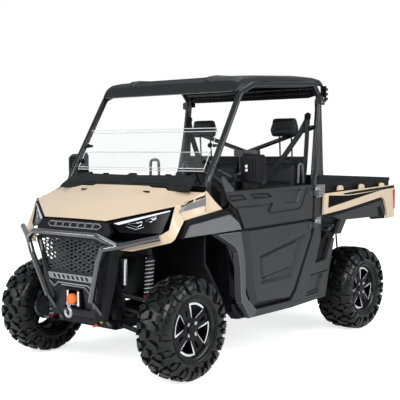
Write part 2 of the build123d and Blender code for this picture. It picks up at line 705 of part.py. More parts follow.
# ---------------------------------------------------------------- wheels
for end, axle_y, tyre_width in (("front", front_axle_y, front_tyre_width),
                                ("rear", rear_axle_y, rear_tyre_width)):
    half_width = tyre_width / 2
    rim_half = half_width * 0.72
    for side, sign in SIDES:
        centre_x = sign * wheel_x
        section = Plane(origin=(centre_x, axle_y, axle_z), x_dir=(sign, 0, 0), z_dir=(0, -sign, 0))
        axle = Axis((centre_x, axle_y, axle_z), (1, 0, 0))
        with BuildPart() as tyre:
            carcass = ((-half_width, sidewall_radius), (-0.9 * half_width, carcass_radius - 8),
                       (-0.6 * half_width, carcass_radius), (0.6 * half_width, carcass_radius),
                       (0.9 * half_width, carcass_radius - 8), (half_width, sidewall_radius))
            for x, radius in carcass:
                with BuildSketch(Plane(origin=(centre_x + x, axle_y, axle_z), x_dir=(0, 1, 0), z_dir=(1, 0, 0))):
                    RegularPolygon(radius, tyre_facets)
            loft(ruled=True)
            for row in (-1, 1):
                start = Plane(origin=(centre_x + row * lug_start, axle_y, axle_z), x_dir=(0, 1, 0),
                              z_dir=(row, 0, 0))
                with BuildSketch(start) as lugs:
                    with PolarLocations(lug_middle, lug_count, start_angle=lug_angle - 90):
                        Rectangle(2 * lug_height, lug_length)
                extrude(lugs.sketch, amount=half_width * 0.96 - lug_start)
            for x, bore in ((-half_width, rim_radius + rim_lip), (seat_gap - rim_half, rim_radius),
                            (rim_half - seat_gap, rim_radius + rim_lip)):
                reach = 2 * (rim_half - seat_gap) if x == seat_gap - rim_half else half_width - rim_half + seat_gap
                with BuildSketch(Plane(origin=(centre_x + x, axle_y, axle_z), x_dir=(0, 1, 0),
                                       z_dir=(1, 0, 0))) as hole:
                    RegularPolygon(bore + seat_gap, tyre_facets, major_radius=False)
                extrude(hole.sketch, amount=reach, mode=Mode.SUBTRACT)
        save(tyre, f"tyre_{end}_{side}")

        with BuildPart() as rim:
            with BuildSketch(section) as barrel:
                with BuildLine():
                    wall = 8
                    outer = [(-rim_half - 8, rim_radius + rim_lip), (-rim_half, rim_radius + rim_lip),
                             (-rim_half, rim_radius), (rim_half, rim_radius),
                             (rim_half, rim_radius + rim_lip), (rim_half + 8, rim_radius + rim_lip)]
                    Polyline(*outer, (rim_half + 8, rim_radius - wall), (-rim_half - 8, rim_radius - wall), close=True)
                make_face()
            revolve(barrel.sketch, axis=axle)
            face = Plane(origin=(centre_x + sign * wheel_offset, axle_y, axle_z), x_dir=(0, 1, 0),
                         z_dir=(sign, 0, 0))
            with BuildSketch(face) as spokes:
                Circle(rim_radius - wall + 1)
                with PolarLocations(110, 4, start_angle=22.5):
                    RectangleRounded(84, 92, 18, mode=Mode.SUBTRACT)
                with PolarLocations(118, 4, start_angle=67.5):
                    RectangleRounded(52, 26, 8, mode=Mode.SUBTRACT)
            extrude(spokes.sketch, amount=spoke_thickness)
            hub_start = centre_x + sign * (hub_x - wheel_x)
            rod(Vector(hub_start, axle_y, axle_z),
                Vector(centre_x + sign * (wheel_offset + spoke_thickness + 6), axle_y, axle_z), 44)
            rod(Vector(hub_start, axle_y, axle_z), Vector(hub_start + sign * 6, axle_y, axle_z), 110)
        save(rim, f"rim_{end}_{side}")

# ---------------------------------------------------------------- doors
door_hinge_y = -655           # from the rear axle
door_hinge_x = door_x + 16
pocket_depth = 9
door_pockets = (
    [(391, 847), (553, 845), (601, 806), (421, 799)],
    [(631, 845), (842, 847), (896, 811), (668, 808)],
    [(926, 853), (1268, 855), (1216, 758), (1064, 756)],
    [(742, 416), (1236, 506), (1340, 526), (1206, 290), (1150, 220), (764, 208)],
    [(566, 615), (1412, 632), (1412, 620), (568, 603)],
)
for side, sign in SIDES:
    with BuildPart() as door:
        across(front_outline([(369, belt_front), (555, 606), (622, 210), (690, 59), (1122, 62), (1180, 118),
                              (1398, 500), (1410, 618), (1420, belt_rear - 44), (1411, belt_rear)]),
               sign * (door_x - door_thickness), sign * door_x)
        for pocket in door_pockets:
            across(front_outline(pocket), sign * (door_x - pocket_depth), sign * (door_x + 1), mode=Mode.SUBTRACT)
        rod(Vector(sign * door_hinge_x, rear_axle_y + door_hinge_y, ride_height + 560),
            Vector(sign * door_hinge_x, rear_axle_y + door_hinge_y, ride_height + 600), hinge_radius)
        block(Vector(sign * (door_x - 2), rear_axle_y + door_hinge_y - 60, ride_height + 560),
              Vector(sign * (door_hinge_x + 4), rear_axle_y + door_hinge_y - 2, ride_height + 600))
        rod(Vector(sign * door_hinge_x, rear_axle_y + door_hinge_y, ride_height + 800),
            Vector(sign * door_hinge_x, rear_axle_y + door_hinge_y, ride_height + 840), hinge_radius)
        block(Vector(sign * (door_x - 2), rear_axle_y + door_hinge_y - 60, ride_height + 800),
              Vector(sign * (door_hinge_x + 4), rear_axle_y + door_hinge_y - 2, ride_height + 840))
    save(door, f"door_{side}")

with BuildPart() as door_hinges:
    for sign in (-1, 1):
        for height in (600, 840):
            low = height + seat_gap
            rod(Vector(sign * door_hinge_x, rear_axle_y + door_hinge_y, ride_height + low),
                Vector(sign * door_hinge_x, rear_axle_y + door_hinge_y, ride_height + low + 24), hinge_radius)
            block(Vector(sign * (quarter_x + seat_gap), rear_axle_y + door_hinge_y + 2, ride_height + low),
                  Vector(sign * (door_hinge_x + 4), rear_axle_y + door_hinge_y + 60, ride_height + low + 24))
save(door_hinges, "door_hinges")

# ---------------------------------------------------------------- cargo bed
bed_front_y = -500            # from the rear axle
bed_rear_y = 554
bed_in = bed_half_width - bed_wall
tailgate_hinge_y = 575
tailgate_hinge_z = bed_floor_height + 4

with BuildPart() as bed_box:
    block(rear(-bed_half_width, bed_front_y, bed_floor_height),
          rear(bed_half_width, bed_rear_y, bed_rail_height + 44))
    block(rear(-bed_in, bed_front_y + bed_wall, bed_floor_height + bed_floor_thickness),
          rear(bed_in, bed_rear_y + 10, bed_rail_height + 60), mode=Mode.SUBTRACT)
    split(bisect_by=Plane(origin=rear(0, bed_front_y, bed_rail_height + 44), z_dir=(0, 44 / 1060, 1)),
          keep=Keep.BOTTOM)
    for sign in (-1, 1):
        block(rear(sign * (rail_spread - 6), bed_front_y + 40, bed_rail_z + 0.5),
              rear(sign * (rail_spread + 20), bed_pivot_y - 40, bed_floor_height + 1))
        block(rear(sign * (rail_spread - 6), bed_pivot_y - 16, bed_pivot_z),
              rear(sign * (rail_spread + 20), bed_pivot_y + 16, bed_floor_height + 1))
        rod(rear(sign * (rail_spread - 6), bed_pivot_y, bed_pivot_z),
            rear(sign * (rail_spread + 20), bed_pivot_y, bed_pivot_z), 16)
    for x in (-400, 0, 400):
        low = x + 40 + seat_gap
        rod(rear(low, tailgate_hinge_y, tailgate_hinge_z), rear(low + 40, tailgate_hinge_y, tailgate_hinge_z), 7)
        block(rear(low, bed_rear_y - 1, tailgate_hinge_z - 3), rear(low + 40, tailgate_hinge_y, tailgate_hinge_z + 3))
save(bed_box, "bed_box")

with BuildPart() as bed_trim:
    for sign in (-1, 1):
        across(rear_outline([(-541, 816), (534, 858), (580, 850), (568, 567), (430, 567), (359, 747),
                             (-510, 656), (-575, 652)]),
               sign * (bed_half_width + 31), sign * (bed_half_width + 52))
        across(rear_outline([(-491, 798), (-20, 808), (351, 807), (-503, 700)]),
               sign * (bed_half_width + 38), sign * (bed_half_width + 53), mode=Mode.SUBTRACT)
        across(rear_outline([(-490, 800), (534, 858), (556, 850), (556, 567), (430, 567), (372, 578),
                             (-234, 600), (-311, 659), (-490, 658)]),
               sign * (bed_half_width + seat_gap), sign * (bed_half_width + 33))
save(bed_trim, "bed_trim")

with BuildPart() as tail_lamps:
    for sign in (-1, 1):
        across(rear_outline([(535, 800), (576, 807), (570, 635), (556, 640)]),
               sign * (bed_half_width + 52 + seat_gap), sign * (bed_half_width + 58))
save(tail_lamps, "tail_lamps")

with BuildPart() as tailgate:
    block(rear(-bed_in + 6, 562, tailgate_hinge_z + 2), rear(bed_in - 6, rear_overhang, bed_rail_height - 4))
    for x in (-400, 0, 400):
        block(rear(x + 35, 560, tailgate_hinge_z - 1), rear(x + 86, rear_overhang + 1, tailgate_hinge_z + 15),
              mode=Mode.SUBTRACT)
    for x in (-400, 0, 400):
        rod(rear(x - 40, tailgate_hinge_y, tailgate_hinge_z), rear(x + 40, tailgate_hinge_y, tailgate_hinge_z), 7)
save(tailgate, "tailgate")
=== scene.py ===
"""Side by side utility vehicle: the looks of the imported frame, in metres.

The front faces -Y, the vehicle's left, nearest the camera, is +X, and +Z is up.
Stations are given in millimetres by front() and rear(), which measure y from an axle.
"""
import json
from math import cos, hypot, pi, radians, sin

import bmesh
import bpy
from mathutils import Matrix, Vector


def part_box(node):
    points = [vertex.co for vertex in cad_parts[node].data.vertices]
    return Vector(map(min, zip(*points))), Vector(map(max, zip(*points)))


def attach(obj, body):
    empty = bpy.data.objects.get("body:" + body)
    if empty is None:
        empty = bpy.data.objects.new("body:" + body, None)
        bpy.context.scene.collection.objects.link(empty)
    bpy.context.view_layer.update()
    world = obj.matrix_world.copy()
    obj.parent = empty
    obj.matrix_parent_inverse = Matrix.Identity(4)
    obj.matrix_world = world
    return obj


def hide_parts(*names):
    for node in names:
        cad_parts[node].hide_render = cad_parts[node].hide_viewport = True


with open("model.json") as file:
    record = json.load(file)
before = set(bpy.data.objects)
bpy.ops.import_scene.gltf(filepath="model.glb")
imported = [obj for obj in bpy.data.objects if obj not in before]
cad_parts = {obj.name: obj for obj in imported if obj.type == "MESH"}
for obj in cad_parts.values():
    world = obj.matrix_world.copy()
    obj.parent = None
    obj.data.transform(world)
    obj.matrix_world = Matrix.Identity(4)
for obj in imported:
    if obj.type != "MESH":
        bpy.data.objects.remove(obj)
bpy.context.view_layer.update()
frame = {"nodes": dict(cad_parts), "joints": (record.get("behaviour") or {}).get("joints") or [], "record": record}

# ---------------------------------------------------------------- stations from the frame
JOINTS = {joint["name"]: joint for joint in frame["joints"]}
FRONT_AXLE_Y = JOINTS["wheel_front_left_spin"]["pos_m"][1]
REAR_AXLE_Y = JOINTS["wheel_rear_left_spin"]["pos_m"][1]
WHEEL_X = JOINTS["wheel_rear_left_spin"]["pos_m"][0]
AXLE_Z = JOINTS["wheel_rear_left_spin"]["pos_m"][2]
SIDES = (("left", 1), ("right", -1))
ACROSS, BACKWARD, UP = Vector((1, 0, 0)), Vector((0, 1, 0)), Vector((0, 0, 1))


def front(x, y, z):
    """A point from millimetres: x out, y behind the front axle, z above the ground."""
    return Vector((x / 1000, FRONT_AXLE_Y + y / 1000, z / 1000))


def rear(x, y, z):
    """A point from millimetres: x out, y behind the rear axle, z above the ground."""
    return Vector((x / 1000, REAR_AXLE_Y + y / 1000, z / 1000))


def outward(sign):
    """front() for one side of the vehicle, where x counts outwards from the middle."""
    return lambda x, y, z: front(sign * x, y, z)


# ---------------------------------------------------------------- materials
def material(name, colour, roughness, metallic=0.0, coat=0.0, grain=600.0, bump=0.15, bump_height=0.0004,
             variation=0.08, rough_spread=0.08, transmission=0.0, ior=1.5, specular=0.5):
    """A procedural surface: slow mottling in colour and gloss, with a fine moulded or cast grain."""
    made = bpy.data.materials.new(name)
    made.use_nodes = True
    nodes = made.node_tree.nodes
    links = made.node_tree.links
    shader = nodes["Principled BSDF"]
    shader.inputs["Metallic"].default_value = metallic
    shader.inputs["Coat Weight"].default_value = coat
    shader.inputs["Coat Roughness"].default_value = 0.08
    shader.inputs["Transmission Weight"].default_value = transmission
    shader.inputs["IOR"].default_value = ior
    shader.inputs["Specular IOR Level"].default_value = specular
    place = nodes.new("ShaderNodeTexCoord")
    slow = nodes.new("ShaderNodeTexNoise")
    slow.inputs["Scale"].default_value = 5.0
    slow.inputs["Detail"].default_value = 6.0
    links.new(place.outputs["Object"], slow.inputs["Vector"])
    mottle = nodes.new("ShaderNodeMix")
    mottle.data_type = "RGBA"
    mottle.inputs["A"].default_value = [*(c * (1 - variation) for c in colour), 1]
    mottle.inputs["B"].default_value = [*(min(1, c * (1 + variation)) for c in colour), 1]
    links.new(slow.outputs["Fac"], mottle.inputs["Factor"])
    links.new(mottle.outputs["Result"], shader.inputs["Base Color"])
    gloss = nodes.new("ShaderNodeMapRange")
    gloss.inputs["To Min"].default_value = max(0.02, roughness - rough_spread)
    gloss.inputs["To Max"].default_value = min(1.0, roughness + rough_spread)
    links.new(slow.outputs["Fac"], gloss.inputs["Value"])
    links.new(gloss.outputs["Result"], shader.inputs["Roughness"])
    if bump:
        fine = nodes.new("ShaderNodeTexNoise")
        fine.inputs["Scale"].default_value = grain
        fine.inputs["Detail"].default_value = 3.0
        links.new(place.outputs["Object"], fine.inputs["Vector"])
        relief = nodes.new("ShaderNodeBump")
        relief.inputs["Strength"].default_value = bump
        relief.inputs["Distance"].default_value = bump_height
        links.new(fine.outputs["Fac"], relief.inputs["Height"])
        links.new(relief.outputs["Normal"], shader.inputs["Normal"])
    return made


TAN = material("tan_paint", (0.56, 0.445, 0.31), 0.32, coat=0.35, grain=900, bump=0.05, variation=0.03)
GREY = material("grey_plastic", (0.024, 0.024, 0.0255), 0.38, grain=1400, bump=0.35, variation=0.10,
                specular=0.3)
FLARE = material("flare_plastic", (0.125, 0.125, 0.128), 0.42, grain=1400, bump=0.35, variation=0.08,
                 specular=0.3)
BLACK = material("black_plastic", (0.006, 0.006, 0.007), 0.36, grain=1400, bump=0.35, variation=0.12,
                 specular=0.13)
# Black trim; also the black strips of painted shade in the door seam and on the bed's pressing.
TRIM_AND_SHADE = material("trim_black_and_shade", (0.004, 0.004, 0.005), 0.34, grain=1200, bump=0.15, variation=0.12,
                specular=0.08)
ROOF = material("roof_black", (0.008, 0.008, 0.009), 0.42, grain=1400, bump=0.35, variation=0.12,
                specular=0.28)
CAGE = material("cage_black", (0.006, 0.006, 0.007), 0.22, grain=1000, bump=0.12, variation=0.1,
                specular=0.45)
GUARD = material("guard_black", (0.007, 0.007, 0.008), 0.13, coat=0.9, grain=1000, bump=0.06, variation=0.1,
                 rough_spread=0.03, specular=1.0)
CHASSIS = material("frame_black", (0.006, 0.006, 0.007), 0.42, grain=700, bump=0.2, variation=0.15,
                   specular=0.2)
SEAT = material("seat_vinyl", (0.012, 0.012, 0.013), 0.5, grain=450, bump=0.6, bump_height=0.0006,
                variation=0.12, specular=0.25)
TREAD = material("tread_rubber", (0.004, 0.004, 0.0043), 0.26, grain=260, bump=0.35, bump_height=0.0006,
                 variation=0.25, rough_spread=0.12, specular=0.32)
TYRE = material("tyre_rubber", (0.002, 0.002, 0.0023), 0.6, grain=260, bump=0.4, bump_height=0.0006,
                variation=0.22, rough_spread=0.12, specular=0.2)
RIM = material("alloy_black", (0.003, 0.003, 0.0035), 0.3, grain=600, bump=0.05, variation=0.1, specular=0.15)
MACHINED = material("machined_alloy", (0.78, 0.79, 0.81), 0.24, metallic=1.0, grain=900, bump=0.1,
                    variation=0.03)
STEEL = material("steel", (0.45, 0.46, 0.48), 0.33, metallic=1.0, grain=700, bump=0.15, variation=0.08)
CAST = material("cast_metal", (0.05, 0.05, 0.053), 0.6, metallic=0.3, grain=300, bump=0.6, bump_height=0.0008,
                variation=0.2)
ORANGE = material("orange_rubber", (0.85, 0.16, 0.015), 0.5, grain=500, bump=0.2, variation=0.06)
GRIP = material("wheel_grip", (0.012, 0.012, 0.012), 0.6, grain=500, bump=0.5, variation=0.1)
LENS = material("lamp_lens", (0.004, 0.004, 0.005), 0.1, grain=50, bump=0.02, variation=0.1, specular=0.06)
RED = material("red_lens", (0.42, 0.01, 0.012), 0.12, coat=1.0, grain=120, bump=0.1, variation=0.1)
CLEAR = material("clear_sheet", (0.97, 0.985, 0.98), 0.03, grain=30, bump=0.0, variation=0.01,
                 rough_spread=0.02, transmission=1.0, ior=1.2)
LEG = material("leg_plastic", (0.062, 0.062, 0.064), 0.42, grain=1400, bump=0.35, variation=0.08,
               specular=0.3)
HINGE = material("hinge_grey", (0.17, 0.17, 0.175), 0.45, metallic=0.2, grain=300, bump=0.5, variation=0.15)
GLOW = material("lamp_strip", (0.62, 0.64, 0.66), 0.2, grain=400, bump=0.1, variation=0.03)
# Bright reflector for the lamps' eyes; also the painted glint on the mirror shells' backs.
REFLECTOR_AND_HIGHLIGHT = material("reflector", (0.6, 0.61, 0.63), 0.2, metallic=0.6, grain=300, bump=0.3, variation=0.2)
# Pale colour along the windscreen's edges: a painted highlight.
EDGE = material("sheet_edge", (0.62, 0.64, 0.66), 0.25, grain=300, bump=0.0, variation=0.05)
MIRROR = material("mirror_glass", (0.75, 0.77, 0.8), 0.04, metallic=1.0, grain=100, bump=0.0, variation=0.02,
                  rough_spread=0.02)
WEBBING = material("belt_webbing", (0.012, 0.012, 0.013), 0.75, grain=1400, bump=0.6, variation=0.15)
NOSE = material("nose_plastic", (0.010, 0.010, 0.011), 0.42, grain=1400, bump=0.3, variation=0.1,
                specular=0.22)
MESH = material("grille_plastic", (0.045, 0.045, 0.047), 0.3, grain=1400, bump=0.15, variation=0.1,
                specular=0.5)
# Bright grey plastic; also the painted highlight on the lower nose's ridges.
BRIGHT_AND_HIGHLIGHT = material("bright_plastic_and_highlight", (0.22, 0.22, 0.225), 0.35, grain=1200, bump=0.2, variation=0.08)
YELLOW = material("strap_yellow", (0.8, 0.62, 0.03), 0.6, grain=900, bump=0.3, variation=0.1)
CASTHOOK = material("hook_zinc", (0.42, 0.43, 0.45), 0.35, metallic=0.85, grain=500, bump=0.3, variation=0.12)
WELT = material("seat_welt", (0.03, 0.03, 0.032), 0.5, grain=700, bump=0.3, variation=0.1, specular=0.3)
PALE = material("spring_white", (0.38, 0.39, 0.40), 0.3, coat=0.3, grain=700, bump=0.05, variation=0.05)
REDRING = material("ring_red", (0.5, 0.02, 0.02), 0.3, metallic=0.6, grain=700, bump=0.05, variation=0.08)
ALLOY = material("bright_alloy", (0.7, 0.71, 0.73), 0.28, metallic=1.0, grain=700, bump=0.08, variation=0.06)

SLOT_MATERIALS = {"frame_black": CHASSIS, "cage_black": CAGE, "tan_paint": TAN, "grey_plastic": GREY,
                  "black_plastic": BLACK, "seat_vinyl": SEAT, "clear_sheet": CLEAR, "lamp_lens": LENS,
                  "red_lens": RED, "cast_metal": CAST, "steel": STEEL, "shock_metal": CHASSIS,
                  "orange_rubber": ORANGE, "wheel_grip": GRIP, "tyre_rubber": TYRE, "alloy_black": RIM}


def dress_cad_nodes():
    """Every CAD node takes the material of its slot; pieces made later may hide the node."""
    for row in frame["record"]["subparts"]:
        node = frame["nodes"][row["node"]]
        node.data.materials.clear()
        node.data.materials.append(SLOT_MATERIALS[row["material_slot"]])
    guard = frame["nodes"]["brush_guard"]
    guard.data.materials.clear()
    guard.data.materials.append(GUARD)


dress_cad_nodes()


# ---------------------------------------------------------------- mesh helpers
def finish_piece(name, bm, materials, body="chassis", bevel=0.0, segments=2,
                 replaces=(), sharp=32, merge=1e-5):
    """Turns a bmesh into a piece that rides on a body: welded, bevelled, smooth between sharp edges."""
    bmesh.ops.remove_doubles(bm, verts=bm.verts, dist=merge)
    bmesh.ops.recalc_face_normals(bm, faces=bm.faces)
    if bevel:
        corners = [e for e in bm.edges if e.is_manifold and e.calc_face_angle(0) > radians(22)]
        bmesh.ops.bevel(bm, geom=corners, offset=bevel, segments=segments, profile=0.6, affect="EDGES",
                        clamp_overlap=True)
    for face in bm.faces:
        face.smooth = True
    for edge in bm.edges:
        edge.smooth = edge.is_manifold and edge.calc_face_angle(0) < radians(sharp)
    mesh = bpy.data.meshes.new(name)
    bm.to_mesh(mesh)
    bm.free()
    piece = bpy.data.objects.new(name, mesh)
    bpy.context.scene.collection.objects.link(piece)
    for surface in (materials if isinstance(materials, (list, tuple)) else [materials]):
        mesh.materials.append(surface)
    if bevel:
        weighted = piece.modifiers.new("normals", "WEIGHTED_NORMAL")
        weighted.keep_sharp = True
        bake(piece)
    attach(piece, body)
    if replaces:
        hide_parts(*replaces)


def once(side, node):
    """The node of both sides, replaced by the left piece alone."""
    return [node] if side == "left" else ()


def bake(piece):
    """Applies a piece's modifiers to its mesh."""
    deps = bpy.context.evaluated_depsgraph_get()
    solid = bpy.data.meshes.new_from_object(piece.evaluated_get(deps), preserve_all_data_layers=True,
                                            depsgraph=deps)
    piece.modifiers.clear()
    old, piece.data = piece.data, solid
    bpy.data.meshes.remove(old)


def loft(bm, low, high, surface=0):
    """A closed solid between two outlines with the same number of points."""
    near = [bm.verts.new(p) for p in low]
    far = [bm.verts.new(p) for p in high]
    faces = [bm.faces.new(near), bm.faces.new(far[::-1])]
    for a in range(len(near)):
        b = (a + 1) % len(near)
        faces.append(bm.faces.new((near[b], near[a], far[a], far[b])))
    for face in faces:
        face.material_index = surface


def prism(bm, outline, shift, surface=0):
    """A closed solid: a flat outline of 3-D points, run along one shift vector."""
    loft(bm, outline, [p + shift for p in outline], surface)


def shell(bm, rings, surface=0, closed=False):
    """Faces between rings of vertices with equal counts; a run that isn't closed is capped at its ends."""
    count, around = len(rings), len(rings[0])
    faces = []
    for i in range(count if closed else count - 1):
        a, b = rings[i], rings[(i + 1) % count]
        for k in range(around):
            m = (k + 1) % around
            faces.append(bm.faces.new((a[k], a[m], b[m], b[k])))
    if not closed:
        faces.append(bm.faces.new(rings[0][::-1]))
        faces.append(bm.faces.new(rings[-1]))
    for face in faces:
        face.material_index = surface


def round_ring(bm, centre, side, other, radius, sides):
    """Vertices of a circle in the plane of two unit vectors."""
    turns = [2 * pi * k / sides for k in range(sides)]
    return [bm.verts.new(centre + (side * cos(turn) + other * sin(turn)) * radius) for turn in turns]


def brick(bm, low, high, surface=0):
    """An upright box between two corners."""
    (x0, y0, z0), (x1, y1, z1) = low, high
    outline = [Vector((x, y, z0)) for x, y in ((x0, y0), (x1, y0), (x1, y1), (x0, y1))]
    prism(bm, outline, Vector((0, 0, z1 - z0)), surface)


def pipe(bm, points, radius, sides=16, surface=0, closed=False):
    """A round tube through points, mitred at each one, with flat ends."""
    rings = []
    count = len(points)
    upward = None
    for i, point in enumerate(points):
        before = points[i - 1] if (i or closed) else point
        after = points[(i + 1) % count] if (i < count - 1 or closed) else point
        along = (after - before).normalized()
        if upward is None:
            upward = along.orthogonal().normalized()
        upward = (upward - along * upward.dot(along)).normalized()
        rings.append(round_ring(bm, point, upward, along.cross(upward), radius, sides))
    shell(bm, rings, surface, closed)


def bent(points, radius, steps=6):
    """The points of a route with each inner corner rounded by an arc-like curve."""
    route = [points[0]]
    for before, corner, after in zip(points, points[1:], points[2:]):
        to_a, to_b = before - corner, after - corner
        reach = min(radius, to_a.length * 0.45, to_b.length * 0.45)
        start, end = corner + to_a.normalized() * reach, corner + to_b.normalized() * reach
        for k in range(steps + 1):
            t = k / steps
            route.append(start * (1 - t) ** 2 + corner * 2 * t * (1 - t) + end * t ** 2)
    route.append(points[-1])
    return route


def lathe(bm, profile, centre, sign, steps=96, surface=0):
    """A ring about the x axis through centre, from (x out, radius) points in metres."""
    angles = [2 * pi * k / steps for k in range(steps)]
    shell(bm, [[bm.verts.new(centre + Vector((sign * x, r * cos(angle), r * sin(angle)))) for x, r in profile]
               for angle in angles], surface, closed=True)


def turned(bm, profile, centre, axis, sides=32):
    """A turned solid about any axis, from (distance along, radius) pairs in millimetres."""
    side = axis.orthogonal().normalized()
    other = axis.cross(side)
    shell(bm, [round_ring(bm, centre + axis * run / 1000, side, other, radius / 1000, sides)
               for run, radius in profile])


def lathe_knob(bm, start, direction, radius, height, sides=14):
    """A short domed round head standing on a surface."""
    shape = ((0, 1), (0.6, 1), (0.9, 0.82), (1, 0.4))
    turned(bm, [(1000 * height * lift, 1000 * radius * share) for lift, share in shape], start,
           direction.normalized(), sides)


def thicken(bm, faces, thickness):
    """Closes an open sheet of faces into a solid."""
    bmesh.ops.recalc_face_normals(bm, faces=faces)
    bmesh.ops.solidify(bm, geom=faces, thickness=thickness)


def skin(bm, facets, thickness):
    """A folded sheet from facets of 3-D points that share edges."""
    index = {}

    def vert(p):
        """The one vertex at a point."""
        key = tuple(round(c, 5) for c in p)
        if key not in index:
            index[key] = bm.verts.new(p)
        return index[key]

    thicken(bm, [bm.faces.new([vert(p) for p in facet]) for facet in facets], thickness)


def scratch_object(bm):
    """A temporary object for boolean work."""
    mesh = bpy.data.meshes.new("scratch")
    bmesh.ops.recalc_face_normals(bm, faces=bm.faces)
    bm.to_mesh(mesh)
    bm.free()
    thing = bpy.data.objects.new("scratch", mesh)
    bpy.context.scene.collection.objects.link(thing)
    return thing


def carved(body_bm, cutter_bm):
    """The bmesh of one solid with another taken away."""
    target, cutter = scratch_object(body_bm), scratch_object(cutter_bm)
    cut = target.modifiers.new("cut", "BOOLEAN")
    cut.operation = "DIFFERENCE"
    cut.solver = "EXACT"
    cut.object = cutter
    bake(target)
    bpy.data.objects.remove(cutter)
    left = bmesh.new()
    left.from_mesh(target.data)
    bpy.data.objects.remove(target)
    return left


# ---------------------------------------------------------------- wheels
LUG_DEPTH = 0.021
TYRE_RADIUS = 0.330
RIM_RADIUS = 0.178
PITCHES = 17


def tyre_profile(half):
    """Carcass surface from the crown's middle, out round the shoulder and down the sidewall to the bead."""
    base = TYRE_RADIUS - LUG_DEPTH
    return [(0.0, base), (half * 0.30, base - 0.001), (half * 0.60, base - 0.004),
            (half * 0.80, base - 0.011), (half * 0.93, base - 0.026), (half * 0.985, base - 0.050),
            (half * 0.985, base - 0.085), (half * 0.93, base - 0.110), (half * 0.84, RIM_RADIUS + 0.012),
            (half * 0.72, RIM_RADIUS + 0.002)]


def along_profile(profile, t):
    """Place and outward normal at a share t, 0 to 1, of the way along the profile."""
    where = t * (len(profile) - 1)
    i = min(int(where), len(profile) - 2)
    s = where - i
    (x0, r0), (x1, r1) = profile[i], profile[i + 1]
    along = Vector((x1 - x0, r1 - r0)).normalized()
    return x0 + (x1 - x0) * s, r0 + (r1 - r0) * s, Vector((-along.y, along.x))


def add_lug(bm, profile, centre, sign, hand, turn, rows, depth):
    """A chamfered lug. Its rows are (share along the profile, start angle, end angle) across the tread."""
    pitch = 2 * pi / PITCHES
    layers = []
    for lift, shrink in ((-0.003, -0.0028), (depth - 0.0022, 0.0), (depth, 0.0026)):
        rings = []
        for index, (t, start, end) in enumerate(rows):
            edge = shrink / 0.012 * 0.02 * (1 if index == 0 else -1 if index == len(rows) - 1 else 0)
            x, r, normal = along_profile(profile, t + edge)
            inset = shrink / (r * pitch)
            row = []
            for a in (start + inset, end - inset):
                angle = turn + a * pitch
                reach = r + normal.y * lift
                out = x + normal.x * lift
                spot = Vector((sign * hand * out, reach * cos(angle), reach * sin(angle)))
                row.append(bm.verts.new(centre + spot))
            rings.append(row)
        layers.append(rings)
    loops = [[row[0] for row in rings] + [row[1] for row in reversed(rings)] for rings in layers]
    for low, high in zip(loops, loops[1:]):
        for a in range(len(low)):
            b = (a + 1) % len(low)
            bm.faces.new((low[a], low[b], high[b], high[a]))
    for low, high in zip(layers[-1], layers[-1][1:]):
        bm.faces.new((low[0], low[1], high[1], high[0]))


CROWN_LUG = ((0.01, -0.28, 0.10), (0.08, -0.30, 0.16), (0.15, -0.14, 0.20), (0.21, -0.06, 0.16))
MIDDLE_LUG = ((0.15, 0.44, 0.66), (0.21, 0.38, 0.70), (0.27, 0.38, 0.72), (0.32, 0.46, 0.72))
LONG_SHOULDER = ((0.28, -0.30, -0.04), (0.34, -0.34, 0.06), (0.42, -0.32, 0.12), (0.49, -0.30, 0.12),
                 (0.56, -0.28, 0.06), (0.64, -0.24, -0.08))
SHORT_SHOULDER = ((0.38, 0.36, 0.60), (0.44, 0.32, 0.64), (0.50, 0.34, 0.64), (0.56, 0.40, 0.56))


def make_tyre(end, side, sign, axle_y, half):
    """A carcass with ribbed sidewalls, and four rows of lugs on each half of the tread."""
    centre = Vector((sign * WHEEL_X, axle_y, AXLE_Z))
    profile = tyre_profile(half)
    bm = bmesh.new()
    inner = [(x * 0.9, r - 0.016) for x, r in profile[:-1]]
    outer_side = profile + [(half * 0.70, RIM_RADIUS - 0.002)] + list(reversed(inner))
    ring = outer_side + [(-x, r) for x, r in reversed(outer_side)]
    ribs = [(half * 0.975, TYRE_RADIUS - LUG_DEPTH - 0.095), (half * 0.945, TYRE_RADIUS - LUG_DEPTH - 0.108)]
    lathe(bm, ring, centre, sign, steps=108)
    for hand in (-1, 1):
        for x, r in ribs:
            lathe(bm, [(hand * (x + 0.003), r), (hand * (x + 0.003), r - 0.004),
                       (hand * (x - 0.004), r - 0.006), (hand * (x - 0.004), r + 0.002)], centre, sign,
                  steps=108)
        for k in range(PITCHES):
            turn = 2 * pi * (k + (0.5 if hand < 0 else 0)) / PITCHES
            for rows, depth in ((CROWN_LUG, LUG_DEPTH), (MIDDLE_LUG, LUG_DEPTH),
                                (LONG_SHOULDER, LUG_DEPTH * 0.9), (SHORT_SHOULDER, LUG_DEPTH * 0.8)):
                add_lug(bm, profile, centre, sign, hand, turn, rows, depth)
    finish_piece(f"tread_{end}_{side}", bm, TREAD, body=f"wheel_{end}_{side}",
                 replaces=[f"tyre_{end}_{side}"], sharp=38, merge=1e-7)


def flat_shape(loops, thickness, bevel):
    """A flat plate with holes, from closed loops of 2-D points, as a bmesh standing on z = 0."""
    data = bpy.data.curves.new("shape", "CURVE")
    data.dimensions = "2D"
    data.fill_mode = "BOTH"
    data.extrude = thickness / 2 - bevel
    data.bevel_depth = bevel
    data.bevel_resolution = 1
    for loop in loops:
        spline = data.splines.new("POLY")
        spline.points.add(len(loop) - 1)
        for point, (x, y) in zip(spline.points, loop):
            point.co = (x, y, 0, 1)
        spline.use_cyclic_u = True
    thing = bpy.data.objects.new("shape", data)
    bpy.context.scene.collection.objects.link(thing)
    deps = bpy.context.evaluated_depsgraph_get()
    mesh = bpy.data.meshes.new_from_object(thing.evaluated_get(deps))
    bm = bmesh.new()
    bm.from_mesh(mesh)
    bpy.data.objects.remove(thing)
    bpy.data.meshes.remove(mesh)
    bmesh.ops.remove_doubles(bm, verts=bm.verts, dist=1e-5)
    bmesh.ops.translate(bm, verts=bm.verts, vec=(0, 0, thickness / 2))
    return bm


